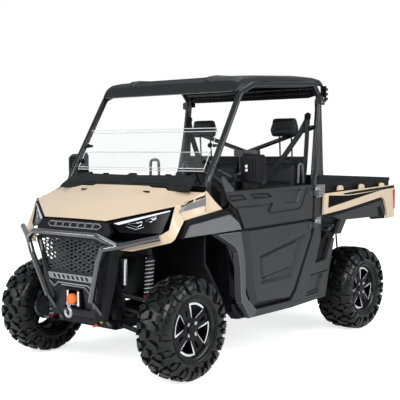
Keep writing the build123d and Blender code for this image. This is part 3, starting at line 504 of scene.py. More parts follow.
def arc_points(radius, start, end, steps, centre=(0, 0)):
    """Points of an arc, by angles in degrees clockwise from the top."""
    return [(centre[0] + radius * sin(radians(start + (end - start) * k / steps)),
             centre[1] + radius * cos(radians(start + (end - start) * k / steps))) for k in range(steps + 1)]


def join_shape(bm, shape, place, surface=0):
    """Adds a flat_shape to bm, with its (x, y, z) placed by a function."""
    copies = {v: bm.verts.new(place(v.co)) for v in shape.verts}
    for face in shape.faces:
        made = bm.faces.new([copies[v] for v in face.verts])
        made.material_index = surface
    shape.free()


FACE_RADIUS = 0.171
WINDOW_SPANS = ((-43, 8), (47, 98), (137, 188), (227, 278))
WINDOW_TOP, WINDOW_FOOT = 0.152, 0.062
DISH = 0.020


def make_rim(end, side, sign, axle_y, half):
    """Black alloy: a stepped barrel, a dished face with four wide windows, and machined window edges."""
    centre = Vector((sign * WHEEL_X, axle_y, AXLE_Z))
    rim_half = half * 0.72 + 0.008
    face_x = rim_half - 0.012
    bm = bmesh.new()
    barrel = [(-rim_half, RIM_RADIUS + 0.015), (-rim_half + 0.006, RIM_RADIUS + 0.015),
              (-rim_half + 0.012, RIM_RADIUS), (rim_half - 0.012, RIM_RADIUS),
              (rim_half - 0.006, RIM_RADIUS + 0.015), (rim_half, RIM_RADIUS + 0.013),
              (rim_half, RIM_RADIUS - 0.002), (rim_half - 0.010, RIM_RADIUS - 0.008),
              (face_x + 0.004, RIM_RADIUS - 0.008), (face_x - 0.02, RIM_RADIUS - 0.012),
              (-rim_half + 0.010, RIM_RADIUS - 0.012), (-rim_half, RIM_RADIUS - 0.002)]
    lathe(bm, barrel, centre, sign, steps=96)

    def place_at(x_out):
        """Stands a flat shape on the wheel's face, with the dish of the rim."""
        def place(co):
            r = hypot(co.x, co.y)
            dish = DISH * (1 - min(1, r / FACE_RADIUS)) ** 1.5
            return centre + Vector((sign * (x_out - dish + co.z), -sign * co.x, co.y))
        return place

    loops = [arc_points(FACE_RADIUS, 0, 360 - 360 / 96, 95)]
    strips = []
    for start, end_angle in WINDOW_SPANS:
        mid = (start + end_angle) / 2
        loops.append(arc_points(WINDOW_TOP, start + 1, end_angle - 1, 12)
                     + arc_points(WINDOW_FOOT, mid + 12, mid - 12, 4))
        loops.append(arc_points(0.138, end_angle + 9, end_angle + 24, 4)
                     + arc_points(0.085, end_angle + 20, end_angle + 13, 2))
        strips.append(arc_points(0.1675, start, end_angle + 2, 14)
                      + arc_points(0.1545, end_angle, start + 2, 14))
        strips.append(arc_points(0.158, end_angle - 2.6, end_angle + 2.2, 1)
                      + arc_points(0.072, mid + 14.5, mid + 12, 1))
        strips.append(arc_points(0.150, start - 0.9, start + 0.4, 1)
                      + arc_points(0.076, mid - 14.5, mid - 16.5, 1))
    join_shape(bm, flat_shape(loops, 0.018, 0.002), place_at(face_x - 0.018))
    for strip in strips:
        join_shape(bm, flat_shape([strip], 0.003, 0.0006), place_at(face_x - 0.001), 1)
    for angle in (45, 135, 225, 315):
        nut = [(0.048 * sin(radians(angle)) + 0.011 * sin(radians(60 * k)),
                0.048 * cos(radians(angle)) + 0.011 * cos(radians(60 * k))) for k in range(6)]
        join_shape(bm, flat_shape([nut], 0.020, 0.002), place_at(face_x - 0.004), 2)
    join_shape(bm, flat_shape([arc_points(0.030, 0, 345, 23)], 0.022, 0.004), place_at(face_x - 0.004), 0)
    join_shape(bm, flat_shape([arc_points(0.068, 0, 350, 35)], 0.010, 0.003), place_at(face_x - 0.006), 0)
    hub = [(-0.030, 0.085), (0.012, 0.085), (0.012, 0.02), (-0.03, 0.02)]
    lathe(bm, hub, centre, sign, steps=48, surface=3)
    brake_disc = [(-0.012, 0.105), (-0.006, 0.105), (-0.006, 0.03), (-0.012, 0.03)]
    lathe(bm, brake_disc, centre, sign, steps=64, surface=2)
    finish_piece(f"alloy_{end}_{side}", bm, [RIM, MACHINED, STEEL, CAST], body=f"wheel_{end}_{side}",
                 replaces=[f"rim_{end}_{side}"], sharp=35, merge=1e-7)


def wheels():
    """A tyre and a rim on each corner, as wide as the frame's own tyre."""
    for end, axle_y in (("front", FRONT_AXLE_Y), ("rear", REAR_AXLE_Y)):
        for side, sign in SIDES:
            low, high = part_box(f"tyre_{end}_{side}")
            half = (high.x - low.x) / 2
            make_tyre(end, side, sign, axle_y, half)
            make_rim(end, side, sign, axle_y, half)


wheels()


# ---------------------------------------------------------------- side panels
def side_outline(points, sign, x):
    """3-D outline from (y behind the front axle, z) pairs in millimetres, at x millimetres out."""
    return [front(sign * x, y, z) for y, z in points]


def shrunk(points, by):
    """The outline moved inwards by a distance, for chamfered pads and recesses."""
    count = len(points)
    area = sum(points[i - 1][0] * points[i][1] - points[i][0] * points[i - 1][1] for i in range(count))
    turn = 1 if area > 0 else -1
    moved = []
    for i in range(count):
        (ax, ay), (bx, by_), (cx, cy) = points[i - 1], points[i], points[(i + 1) % count]
        first = Vector((bx - ax, by_ - ay)).normalized()
        second = Vector((cx - bx, cy - by_)).normalized()
        normal_a = Vector((-first.y, first.x)) * turn
        normal_b = Vector((-second.y, second.x)) * turn
        half = (normal_a + normal_b)
        scale = by / max(0.35, half.dot(normal_a))
        moved.append((bx + half.x * scale, by_ + half.y * scale))
    return moved


def slab(bm, points, sign, x, thick, surface=0):
    """A flat plate on a side panel: its outline at x millimetres out, run outwards by its thickness."""
    prism(bm, side_outline(points, sign, x), ACROSS * (sign * thick / 1000), surface)


def pad(bm, points, sign, x_from, x_to, slope, surface=0):
    """A raised or sunken flat with sloping sides on a side panel, from its outline at x_from."""
    loft(bm, side_outline(points, sign, x_from), side_outline(shrunk(points, slope), sign, x_to), surface)


DOOR_UPPER = [(370, 1167), (386, 1122), (458, 1062), (500, 1046), (574, 914), (1410, 931), (1420, 1139),
              (1411, 1181)]
DOOR_LOWER = [(566, 902), (622, 510), (690, 360), (1122, 364), (1180, 420), (1398, 800), (1410, 918)]
DOOR_FACE = [(628, 893), (690, 510), (728, 400), (1112, 384), (1168, 434), (1388, 803), (1401, 911)]
DOOR_RECESS = [(742, 716), (1236, 806), (1340, 826), (1206, 590), (1150, 520), (764, 508), (756, 560)]
DOOR_INNER = [(768, 704), (1226, 786), (1172, 606), (1136, 586), (792, 548)]
DOOR_SLOTS = ([(391, 1147), (553, 1145), (601, 1106), (421, 1099)],
              [(631, 1145), (842, 1147), (896, 1111), (668, 1108)])
DOOR_TRAP = [(926, 1153), (1268, 1155), (1216, 1058), (1064, 1056)]
DOOR_STEP = [(468, 1066), (905, 1072), (874, 1030), (858, 1008), (1216, 1018), (1255, 1036), (1332, 1166),
             (1346, 1166), (1266, 1028), (1222, 1007), (880, 998), (852, 1004), (790, 1056), (470, 1052)]


def doors():
    """Half doors: an upper and a lower skin over the slab, with pressed pads, slots and a kick recess."""
    for side, sign in SIDES:
        bm = bmesh.new()
        slab(bm, DOOR_UPPER, sign, 692, 24)
        loft(bm, side_outline(DOOR_LOWER, sign, 690), side_outline(DOOR_FACE, sign, 716))
        cutters = bmesh.new()
        for points in (*DOOR_SLOTS, DOOR_TRAP):
            pad(cutters, points, sign, 717, 702, 9)
            pad(cutters, points, sign, 722, 717, 0.01)
        slab(cutters, DOOR_STEP, sign, 704, 20)
        pad(cutters, DOOR_RECESS, sign, 717, 696, 22)
        slab(cutters, DOOR_RECESS, sign, 716.9, 6)
        bm = carved(bm, cutters)
        pad(bm, DOOR_INNER, sign, 694, 709, 14)
        pad(bm, [(800, 560), (1130, 596), (1120, 586), (812, 546)], sign, 701, 713, 2)
        for points in DOOR_SLOTS:
            pad(bm, shrunk(points, 12), sign, 700, 711, 4)
        inner = [(392, 1150), (1392, 1162), (1380, 800), (1160, 420), (700, 420), (600, 880)]
        pad(bm, inner, sign, 694, 690, 12)
        # A black strip at the floor of the seam between the upper and lower skins: painted shadow in the gap.
        pieces = bmesh.new()
        slab(pieces, [(560, 915), (1416, 932), (1414, 915), (564, 899)], sign, 692, 14)
        finish_piece(f"door_seam_painted_shadow_{side}", pieces, TRIM_AND_SHADE, body=f"door_{side}")
        finish_piece(f"door_panel_{side}", bm, GREY, body=f"door_{side}", bevel=0.0022,
                     sharp=40)
        hinges = bmesh.new()
        axis_y = 1425
        for z in (860, 1100):
            pipe(hinges, [front(sign * 736, axis_y, z), front(sign * 736, axis_y, z + 40)], 0.011, sides=16)
            leaf = [(axis_y - 62, z + 2), (axis_y - 54, z - 4), (axis_y - 2, z), (axis_y - 2, z + 40),
                    (axis_y - 54, z + 44), (axis_y - 62, z + 38)]
            slab(hinges, leaf, sign, 714, 8)
            brick(hinges, front(sign * 716, axis_y - 22, z), front(sign * 738, axis_y - 2, z + 40))
        finish_piece(f"hinge_leaf_{side}", hinges, CAST, body=f"door_{side}", bevel=0.0015,
                     replaces=[f"door_{side}"])
        edging = bmesh.new()
        pipe(edging, [front(sign * 703, y, z) for y, z in ((384, 1166), (1400, 1179))], 0.0085, sides=10)
        finish_piece(f"door_seal_{side}", edging, TRIM_AND_SHADE, body=f"door_{side}")


QUARTER_PANEL = [(612, 302), (1124, 302), (1596, 322), (1648, 520), (1722, 760), (1688, 768), (1600, 606),
                 (1452, 590), (1524, 772), (1522, 850), (1545, 930), (1540, 1060), (1566, 1180),
                 (1440, 1180), (1434, 920), (1430, 840), (1412, 798), (1198, 424), (1126, 352), (690, 350),
                 (640, 420), (606, 420)]
QUARTER_PADS = ([(1216, 420), (1296, 362), (1312, 372), (1374, 500), (1440, 640), (1500, 780), (1480, 800),
                 (1440, 790)],
                [(1130, 344), (1128, 310), (1580, 328), (1588, 352)],
                [(1448, 940), (1530, 936), (1528, 1050), (1536, 1160), (1452, 1160)])


def quarters():
    """Sill and rear quarter skins, the intake behind the door, the sill's toe and the hinge plates."""
    for side, sign in SIDES:
        bm = bmesh.new()
        slab(bm, QUARTER_PANEL, sign, 684, 36)
        cutters = bmesh.new()
        pocket = [(1390, 494), (1566, 504), (1516, 386), (1330, 374)]
        pad(cutters, pocket, sign, 721, 700, 6)
        for low, high in (((1384, 512), (1630, 526)), ((1320, 366), (1500, 377))):
            groove = [low, high, (high[0], high[1] - 8), (low[0], low[1] - 8)]
            slab(cutters, groove, sign, 700, 30)
        bm = carved(bm, cutters)
        for points in QUARTER_PADS:
            pad(bm, points, sign, 717, 722.5, 6)
        finish_piece(f"quarter_panel_{side}", bm, GREY, bevel=0.0025, sharp=40,
                     replaces=once(side, "quarters"))
        dark = bmesh.new()
        slab(dark, [(1436, 584), (1606, 596), (1720, 740), (1788, 800), (1850, 893), (1640, 930), (1530, 945),
                    (1520, 770)], sign, 683, 10)
        for out, zig in ((26, ((1532, 886), (1694, 872), (1706, 846), (1560, 858), (1552, 830), (1524, 832))),
                         (20, ((1560, 846), (1640, 838), (1652, 812), (1590, 770), (1566, 772), (1612, 808),
                               (1606, 820), (1560, 824)))):
            slab(dark, zig, sign, 690, out)
        tri = [(1470, 604), (1586, 616), (1570, 742), (1536, 742)]
        slab(dark, tri, sign, 690, 10)
        fin = [(1622, 838), (1710, 876), (1742, 852), (1650, 812)]
        pad(dark, fin, sign, 699, 712, 3, 1)
        finish_piece(f"intake_{side}", dark, [TRIM_AND_SHADE, GREY], bevel=0.002)
        strut = bmesh.new()
        route = ((704, 1690, 872), (680, 1760, 800), (640, 1700, 690), (636, 1660, 600))
        pipe(strut, bent([front(sign * x, y, z) for x, y, z in route], 0.03), 0.009, sides=12)
        pipe(strut, [front(sign * 640, 1860, 890), front(sign * 640, 1900, 640)], 0.007, sides=12)
        finish_piece(f"side_hose_{side}", strut, TRIM_AND_SHADE)
        step = bmesh.new()
        foot = [(439, 424), (484, 420), (516, 372), (606, 368), (612, 302), (520, 304), (462, 360)]
        loft(step, side_outline(foot, sign, 640), side_outline(shrunk(foot, 4), sign, 700))
        finish_piece(f"sill_toe_{side}", step, TRIM_AND_SHADE, bevel=0.003)
        bracket = bmesh.new()
        for z, tall, deep in ((1084, 96, 116), (886, 52, 60)):
            brick(bracket, front(sign * 721, 1448, z), front(sign * 729, 1448 + deep, z + tall))
            for k in range(4):
                low = z + 6 + k * (tall - 12) / 4
                brick(bracket, front(sign * 727, 1462, low),
                      front(sign * 738, 1434 + deep, low + tall / 4 - 7))
            for dy in (1456, 1440 + deep):
                lathe_knob(bracket, front(sign * 729, dy - 2, z + tall / 2), ACROSS * sign, 0.007, 0.005, 6)
        finish_piece(f"hinge_plate_{side}", bracket, HINGE, bevel=0.002)
        backing = bmesh.new()
        slab(backing, [(484, 430), (640, 425), (606, 920), (506, 925)], sign, 640, 6)
        slab(backing, [(606, 345), (1150, 345), (1180, 372), (606, 372)], sign, 670, 8)
        finish_piece(f"sill_backing_{side}", backing, TRIM_AND_SHADE)
        corner = bmesh.new()
        slab(corner, [(330, 1262), (352, 1272), (462, 1182), (462, 1166), (376, 1160)], sign, 700, 14)
        finish_piece(f"dash_corner_{side}", corner, LEG, bevel=0.003)


FLARE_TOP = [(-6, 979), (386, 1024), (478, 966), (514, 912), (250, 905), (-64, 900)]
FLARE_LEG = [(250, 902), (272, 885), (430, 806), (474, 756), (492, 640), (497, 500), (511, 421), (596, 312),
             (640, 306), (688, 350), (582, 440), (558, 480), (558, 567), (552, 703), (530, 800), (504, 906)]


def flares():
    """Front wheel arches: a bright upper flat and a leg down to the sill, inside a black surround."""
    for side, sign in SIDES:
        bm = bmesh.new()
        loft(bm, side_outline(FLARE_TOP, sign, 690), side_outline(shrunk(FLARE_TOP, 5), sign, 744))
        loft(bm, side_outline(FLARE_LEG, sign, 690), side_outline(shrunk(FLARE_LEG, 5), sign, 741), 1)
        finish_piece(f"flare_skin_{side}", bm, [FLARE, LEG], bevel=0.004)
        surround = bmesh.new()
        outline = [(-36, 1006), (325, 1056), (392, 1040), (484, 985), (536, 908), (520, 902), (474, 965),
                   (386, 1020), (-4, 975), (-60, 897), (-78, 900)]
        slab(surround, outline, sign, 686, 40)
        finish_piece(f"flare_surround_{side}", surround, BLACK, bevel=0.003, replaces=once(side, "flares"))


MESH_STEP, MESH_ROW = 17, 11.5


def bed_sides():
    """The bed's sides: tan trim with a stripe round a mesh triangle, a dark pressing with black strips of painted
    shade under the trim and in its pocket, lamp and rail.
    """
    for side, sign in SIDES:
        bm = bmesh.new()
        top = [(1527, 1112), (2570, 1142), (2660, 1146), (2660, 1132), (2572, 1116), (2000, 1086),
               (1850, 1084), (1527, 1097)]
        slab(bm, top, sign, 733, 18)
        slim = [(1527, 1100), (1588, 1100), (1578, 1000), (2436, 1108), (2572, 1118), (2660, 1120),
                (2650, 868), (2526, 864), (2512, 952), (2478, 1020), (2426, 1048), (1842, 980), (1517, 954)]
        slab(bm, slim, sign, 731, 19)
        for y in (1765, 2096, 2434):
            tab = [(y - 44, 1128), (y + 44, 1130), (y + 38, 1158), (y + 10, 1166), (y - 22, 1166),
                   (y - 38, 1156)]
            slab(bm, tab, sign, 735, 13)
        finish_piece(f"bed_trim_skin_{side}", bm, TAN, body="bed", bevel=0.0035,
                     replaces=once(side, "bed_trim"))
        stripe = bmesh.new()
        band = [(1790, 1102), (1958, 1112), (2633, 1138), (2646, 1118), (1958, 1093), (1830, 1091)]
        slab(stripe, band, sign, 746, 6)
        finish_piece(f"bed_stripe_{side}", stripe, TRIM_AND_SHADE, body="bed")
        mesh_panel = bmesh.new()
        slab(mesh_panel, [(1560, 1108), (2480, 1122), (2600, 1124), (2436, 1090), (1570, 990)], sign, 724, 14)
        for row in range(8):
            for col in range(52):
                y = 1594 + (col + row % 2 / 2) * MESH_STEP
                z = 1092 - row * MESH_ROW
                lower_edge = 1003 + (y - 1578) * (1092 - 1003) / (2436 - 1578)
                if lower_edge + 6 < z < 1098 and y < 2360:
                    slab(mesh_panel, [(y - 7.5, z), (y, z + 4.6), (y + 7.5, z), (y, z - 4.6)], sign, 738, 3)
        finish_piece(f"bed_mesh_{side}", mesh_panel, TRIM_AND_SHADE, body="bed")
        dark = bmesh.new()
        outline = [(1527, 962), (2440, 1052), (2500, 1000), (2536, 880), (2300, 884), (1889, 888),
                   (1807, 784), (1739, 797), (1797, 894), (1640, 934)]
        pad(dark, outline, sign, 701, 729, 5)
        cut = bmesh.new()
        pad(cut, [(2380, 962), (2446, 974), (2500, 890), (2508, 860), (2424, 860)], sign, 731, 704, 4)
        dark = carved(dark, cut)
        # A black strip along the pressing's top edge: painted shadow cast by the tan trim above it.
        painted_shadow_band = [(1530, 961), (2434, 1050), (2446, 1014), (1842, 944), (1640, 928), (1600, 938)]
        slab(dark, painted_shadow_band, sign, 722, 8.5, 1)
        # A black slab at the foot of the pocket and below the pressing's edge: painted shade in the recess.
        lip = [(2290, 888), (2400, 900), (2520, 905), (2536, 862), (2320, 868)]
        slab(dark, lip, sign, 702, 22, 1)
        finish_piece(f"bed_pressing_{side}", dark, [GREY, TRIM_AND_SHADE], body="bed", bevel=0.003)
        lamp = bmesh.new()
        slab(lamp, [(2617, 1100), (2654, 1106), (2648, 938), (2636, 940)], sign, 745, 11)
        finish_piece(f"tail_lens_{side}", lamp, RED, body="bed", bevel=0.003,
                     replaces=once(side, "tail_lamps"))
        cap = bmesh.new()
        slab(cap, [(1494, 1250), (2620, 1207), (2620, 1180), (1494, 1222)], sign, 664, 56)
        slab(cap, [(1494, 1226), (2620, 1184), (2620, 1118), (1494, 1100)], sign, 690, 22)
        finish_piece(f"bed_rail_{side}", cap, BLACK, body="bed", bevel=0.004)


def tailgate():
    """The folding gate: a framed pressing with three raised panels, a latch and two reflectors."""
    bm = bmesh.new()
    brick(bm, rear(-654, 566, 916), rear(654, 590, 1199))
    for x0, x1 in ((-654, -366), (-313, 34), (87, 434), (487, 654)):
        brick(bm, rear(x0, 566, 902), rear(x1, 590, 917))
    for x0, x1, z0, z1 in ((-654, 654, 1174, 1203), (-654, 654, 918, 940), (-654, -628, 938, 1176),
                           (628, 654, 938, 1176)):
        brick(bm, rear(x0, 564, z0), rear(x1, 599, z1))
    for x0, x1 in ((-600, -250), (-216, 216), (250, 600)):
        low = [(x0, 962), (x1, 962), (x1, 1130), (x1 - 26, 1154), (x0 + 26, 1154), (x0, 1130)]
        loft(bm, [rear(x, 589, z) for x, z in low], [rear(x, 598, z) for x, z in shrunk(low, 9)])
        for z in (1000, 1046, 1092):
            brick(bm, rear(x0 + 34, 597, z), rear(x1 - 34, 599.6, z + 14))
    for x in (-400, 0, 400):
        pipe(bm, [rear(x - 40, 575, 898), rear(x + 40, 575, 898)], 0.007, sides=16)
        brick(bm, rear(x - 38, 568, 898), rear(x + 33, 582, 906))
    finish_piece("tailgate_skin", bm, GREY, body="tailgate", bevel=0.002, replaces=["tailgate"])
    latch = bmesh.new()
    brick(latch, rear(-96, 590, 1166), rear(96, 599.4, 1196))
    pipe(latch, [rear(-76, 596, 1181), rear(76, 596, 1181)], 0.0036, sides=12)
    for sign in (-1, 1):
        brick(latch, rear(sign * 640, 566, 1120), rear(sign * 659, 588, 1160))
    finish_piece("tailgate_latch", latch, HINGE, body="tailgate", bevel=0.002)
    glass = bmesh.new()
    for sign in (-1, 1):
        brick(glass, rear(sign * 520, 596, 920), rear(sign * 612, 599.8, 938))
    finish_piece("tailgate_reflectors", glass, RED, body="tailgate", bevel=0.001)


tailgate()
doors()
quarters()
flares()
bed_sides()


# ---------------------------------------------------------------- front body
HOOD_TIP_Y, HOOD_TIP_Z = -303, 1005
HOOD_NOSE_X = 290
LAMP_TIP = (649, -63, 1096)
HOOD_TAIL_X, HOOD_TAIL_Y, HOOD_TAIL_Z = 447, 106, 1180
HOOD_CORNER = (682, 195, 1171)
HOOD_EDGE = (682, -10, 1106)


def hood():
    """One folded tan shell: a broad crowned centre, two shoulders, and a raised central panel."""
    bm = bmesh.new()
    cols = [-HOOD_NOSE_X, -205, -178, 0, 178, 205, HOOD_NOSE_X]
    rows = 4
    grid = []
    for r in range(rows + 1):
        t = r / rows
        line = []
        for c in cols:
            share = c / HOOD_NOSE_X
            x = share * (HOOD_NOSE_X + (HOOD_TAIL_X - HOOD_NOSE_X) * t)
            y = HOOD_TIP_Y + (HOOD_TAIL_Y - HOOD_TIP_Y) * t + (1 - share * share) * -4 * (1 - t)
            raised = 9 * (abs(c) < 200) * sin(pi * min(1, t * 1.4) / 2)
            crown = 9 * (1 - share * share) * (0.3 + sin(pi * t))
            line.append(front(x, y, HOOD_TIP_Z + (HOOD_TAIL_Z - HOOD_TIP_Z) * t + crown + raised))
        grid.append(line)
    grid.append([Vector((point.x * 0.9, point.y + 0.028, point.z + 0.014)) for point in grid[-1]])
    facets = [[grid[r][c], grid[r][c + 1], grid[r + 1][c + 1], grid[r + 1][c]]
              for r in range(rows + 1) for c in range(len(cols) - 1)]
    for sign, edge_col in ((-1, 0), (1, -1)):
        lamp = front(sign * LAMP_TIP[0], *LAMP_TIP[1:])
        corner = front(sign * HOOD_CORNER[0], *HOOD_CORNER[1:])
        edge = front(sign * HOOD_EDGE[0], *HOOD_EDGE[1:])
        side_line = [line[edge_col] for line in grid]
        middle = side_line[0].lerp(lamp, 0.5)
        facets += [[side_line[0], middle, side_line[1]], [middle, lamp, side_line[2], side_line[1]],
                   [lamp, edge, corner, side_line[3]], [lamp, side_line[3], side_line[2]],
                   [side_line[3], corner, side_line[4]]]
    skin(bm, facets, 0.007)
    finish_piece("hood_skin", bm, TAN, bevel=0.004, segments=3, replaces=["hood"], sharp=50)
    trim = bmesh.new()
    for sign in (-1, 1):
        latch = [front(sign * (300 + dx), 60 + dy, 1166 + dy * 0.42) for dx, dy in
                 ((-30, -3), (24, -3), (30, 0), (24, 5), (-30, 5))]
        prism(trim, latch, Vector((0, -0.002, 0.008)))
    finish_piece("hood_latches", trim, TRIM_AND_SHADE, bevel=0.001)


def fenders():
    """Tan front wings with the grey vented inset, wrapping forward under the headlamps."""
    for side, sign in SIDES:
        p = outward(sign)
        outer = 716
        top_front, top_rear = p(660, -62, 1094), p(690, 190, 1175)
        low_front, low_rear = p(outer, -46, 1008), p(outer, 160, 1036)
        out = (top_rear - low_front).cross(top_front - low_rear).normalized()
        if out.x * sign < 0:
            out = -out

        def on_wing(u, v, lift=0.0):
            """A spot on the wing's upper flat: u runs back, v runs down."""
            return top_front.lerp(top_rear, u).lerp(low_front.lerp(low_rear, u), v) + out * lift

        facets = [[p(684, 210, 1181), p(outer - 4, 262, 1112), p(outer, 331, 1060), low_rear, top_rear],
                  [top_front, low_front, p(706, -120, 900), p(650, -112, 950)],
                  [p(650, -112, 950), p(706, -120, 900), p(694, -146, 880), p(612, -142, 922)],
                  [p(612, -142, 922), p(694, -146, 880), p(480, -262, 823), p(405, -288, 826)]]
        facets += [[on_wing((i + di) / 4, (j + dj) / 4) for di, dj in ((0, 0), (1, 0), (1, 1), (0, 1))]
                   for i in range(4) for j in range(4)]
        bm = bmesh.new()
        skin(bm, facets, 0.007)
        finish_piece(f"wing_{side}", bm, TAN, bevel=0.003, replaces=once(side, "fenders"),
                     sharp=40)
        inset = bmesh.new()
        marks = ((0, 0.002, ((-0.06, 0.46), (0.20, 0.20), (1.0, 0.28), (1.0, 0.62), (0.10, 0.44))),
                 (2, 0.003, ((-0.06, 0.46), (0.20, 0.20), (0.30, 0.21), (0.12, 0.445))),
                 (1, 0.003, ((0.12, 0.17), (0.28, 0.03), (0.58, 0.09), (0.54, 0.19))),
                 (1, 0.003, ((0.62, 0.19), (0.68, 0.10), (0.98, 0.15), (0.96, 0.24))))
        for surface, lift, outline in marks:
            prism(inset, [on_wing(u, v, lift) for u, v in outline], out * 0.004, surface)
        finish_piece(f"wing_inset_{side}", inset, [FLARE, TRIM_AND_SHADE, BRIGHT_AND_HIGHLIGHT])


def headlamps():
    """Black lamp housings: a slanted face, the bright running strip, outlined eyes and a rim."""
    for side, sign in SIDES:
        p = outward(sign)
        bm = bmesh.new()
        nose, tip, low, inner = p(312, -290, 990), p(646, -72, 1078), p(614, -138, 926), p(392, -270, 934)
        back = Vector((-sign * 0.02, 0.045, 0))
        prism(bm, [nose, tip, low, inner], back)
        finish_piece(f"lamp_housing_{side}", bm, LENS, bevel=0.004,
                     replaces=once(side, "headlamps"))
        out = (tip - nose).cross(low - nose).normalized()
        if out.y > 0:
            out = -out
        along = (tip - nose).normalized()
        down = (inner - nose).normalized()

        def face(u, v, lift):
            """A spot on the lamp face: u along the top edge, v down it, in metres."""
            return nose + along * u + down * v + out * lift

        glow = bmesh.new()
        top_length = (tip - nose).length
        strip = [face(u, v, 0.002) for u, v in ((0.018, 0.014), (top_length - 0.022, 0.008),
                                                (top_length - 0.028, 0.018), (0.034, 0.037))]
        prism(glow, strip, out * 0.004)
        finish_piece(f"lamp_strip_{side}", glow, GLOW, bevel=0.0015)
        inside = bmesh.new()
        outlines = (((0.086, 0.044), (0.112, 0.086), (0.150, 0.078), (0.176, 0.050), (0.150, 0.054)),
                    ((0.196, 0.050), (0.214, 0.070), (0.270, 0.048), (0.286, 0.030), (0.236, 0.040)),
                    ((0.064, 0.062), (0.094, 0.104), (0.150, 0.100)))
        for route in outlines:
            pipe(inside, [face(u, v, 0.001) for u, v in route], 0.0018, sides=6, closed=len(route) > 3)
        for u in (0.146, 0.166, 0.244, 0.262):
            prism(inside, [face(u + du, 0.058 - u * 0.04 + dv, 0.001) for du, dv in
                           ((-0.006, -0.004), (0.005, -0.005), (0.006, 0.006), (-0.005, 0.007))], out * 0.003)
        finish_piece(f"lamp_eyes_{side}", inside, REFLECTOR_AND_HIGHLIGHT)
        rim = bmesh.new()
        path = [face(0.005, 0.004, 0.003), face(top_length - 0.004, 0.004, 0.003), low + out * 0.003,
                inner + out * 0.003]
        pipe(rim, path, 0.0045, sides=8, closed=True)
        finish_piece(f"lamp_rim_{side}", rim, TRIM_AND_SHADE)


hood()
fenders()
headlamps()


# ---------------------------------------------------------------- roof and glass
def sheet_grid(bm, rows):
    """The faces of a sheet from rows of points with equal counts."""
    lines = [[bm.verts.new(p) for p in row] for row in rows]
    return [bm.faces.new((a[k], a[k + 1], b[k + 1], b[k])) for a, b in zip(lines, lines[1:])
            for k in range(len(a) - 1)]


ROOF_SECTION = [(-660, 84), (-656, 46), (-640, 20), (-606, 6), (-560, 0), (-420, -2), (-396, -14),
                (-372, -14), (-350, 0), (0, -4), (330, 0), (352, -14), (376, -14), (400, -2), (560, 0),
                (606, 6), (640, 20), (656, 46), (660, 84)]
ROOF_LINE = [(574, 1838), (584, 1872), (604, 1912), (636, 1938), (700, 1950), (860, 1962), (1338, 1990),
             (1560, 1992), (1622, 1984), (1652, 1962), (1664, 1934)]


def roof():
    """A crowned moulded roof with rounded edges, two grooves and a drip lip at the front."""
    bm = bmesh.new()
    rows = []
    for n, (y, z) in enumerate(ROOF_LINE):
        inset = 20 * max(0, 1 - n / 3) + 16 * max(0, (n - 8) / 2)
        low = 1838 + (1922 - 1838) * min(1, max(0, (y - 574) / 300))
        row = []
        for x, drop in ROOF_SECTION:
            share = min(1.0, (z - low) / 84) if z > low else 0
            scale = (660 - inset) / 660
            row.append(front(x * scale, y, z - drop * max(0.12, share)))
        rows.append(row)
    thicken(bm, sheet_grid(bm, rows), 0.006)
    raised = ((-340, 660, 1945), (-328, 640, 1940), (310, 640, 1940), (322, 660, 1945), (322, 1500, 1996),
              (-340, 1500, 1996))
    prism(bm, [front(*spot) for spot in raised], UP * 0.006)
    finish_piece("roof_shell", bm, ROOF, bevel=0.0025, replaces=["roof"], sharp=42)
    lip = bmesh.new()
    for x0, x1 in ((-610, 402), (414, 606)):
        prism(lip, [front(x0, 580, 1832), front(x0 + 4, 575, 1842), front(x0 + 4, 590, 1846),
                    front(x0, 596, 1834)], front(x1, 0, 0) - front(x0, 0, 0))
    finish_piece("roof_lip", lip, FLARE, bevel=0.001)
    under = bmesh.new()
    loft(under, [front(-600, 640, 1925), front(600, 640, 1925), front(600, 1620, 1962),
                 front(-600, 1620, 1962)], [front(-590, 650, 1918), front(590, 650, 1918),
                                            front(590, 1610, 1955), front(-590, 1610, 1955)])
    for k in range(5):
        y = 760 + k * 190
        z = 1918 + (y - 650) * 37 / 960
        brick(under, front(-560, y, z - 14), front(560, y + 16, z + 4))
    finish_piece("roof_lining", under, TRIM_AND_SHADE, bevel=0.001)
    header = bmesh.new()
    prism(header, [front(x, 1588, z) for x, z in ((-622, 1930), (622, 1930), (622, 1850), (560, 1836),
                                                  (-560, 1836), (-622, 1850))], Vector((0, 0.006, 0)))
    for k in range(30):
        brick(header, front(-550 + k * 38, 1584, 1868), front(-528 + k * 38, 1589, 1874), 1)
    finish_piece("rear_header", header, [TRIM_AND_SHADE, FLARE], bevel=0.001)
    bar = bmesh.new()
    for sign in (-1, 1):
        slab(bar, [(1604, 1930), (1664, 1924), (1668, 1812), (1616, 1800)], sign, 656, 10)
        brick(bar, front(sign * 676, 1640, 1806), front(sign * 636, 1664, 1926))
        for z in (1830, 1866, 1902):
            brick(bar, front(sign * 680, 1630, z - 10), front(sign * 660, 1680, z + 8))
    finish_piece("rear_light_brackets", bar, TRIM_AND_SHADE, bevel=0.002)


PANE = 606
LAP = 6.3


def glass_point(x, z, lift):
    """A point on the windscreen's plane, in the same place as the panes of the frame."""
    return front(x, 209 - lift + 0.602 * (z - 1180), z)


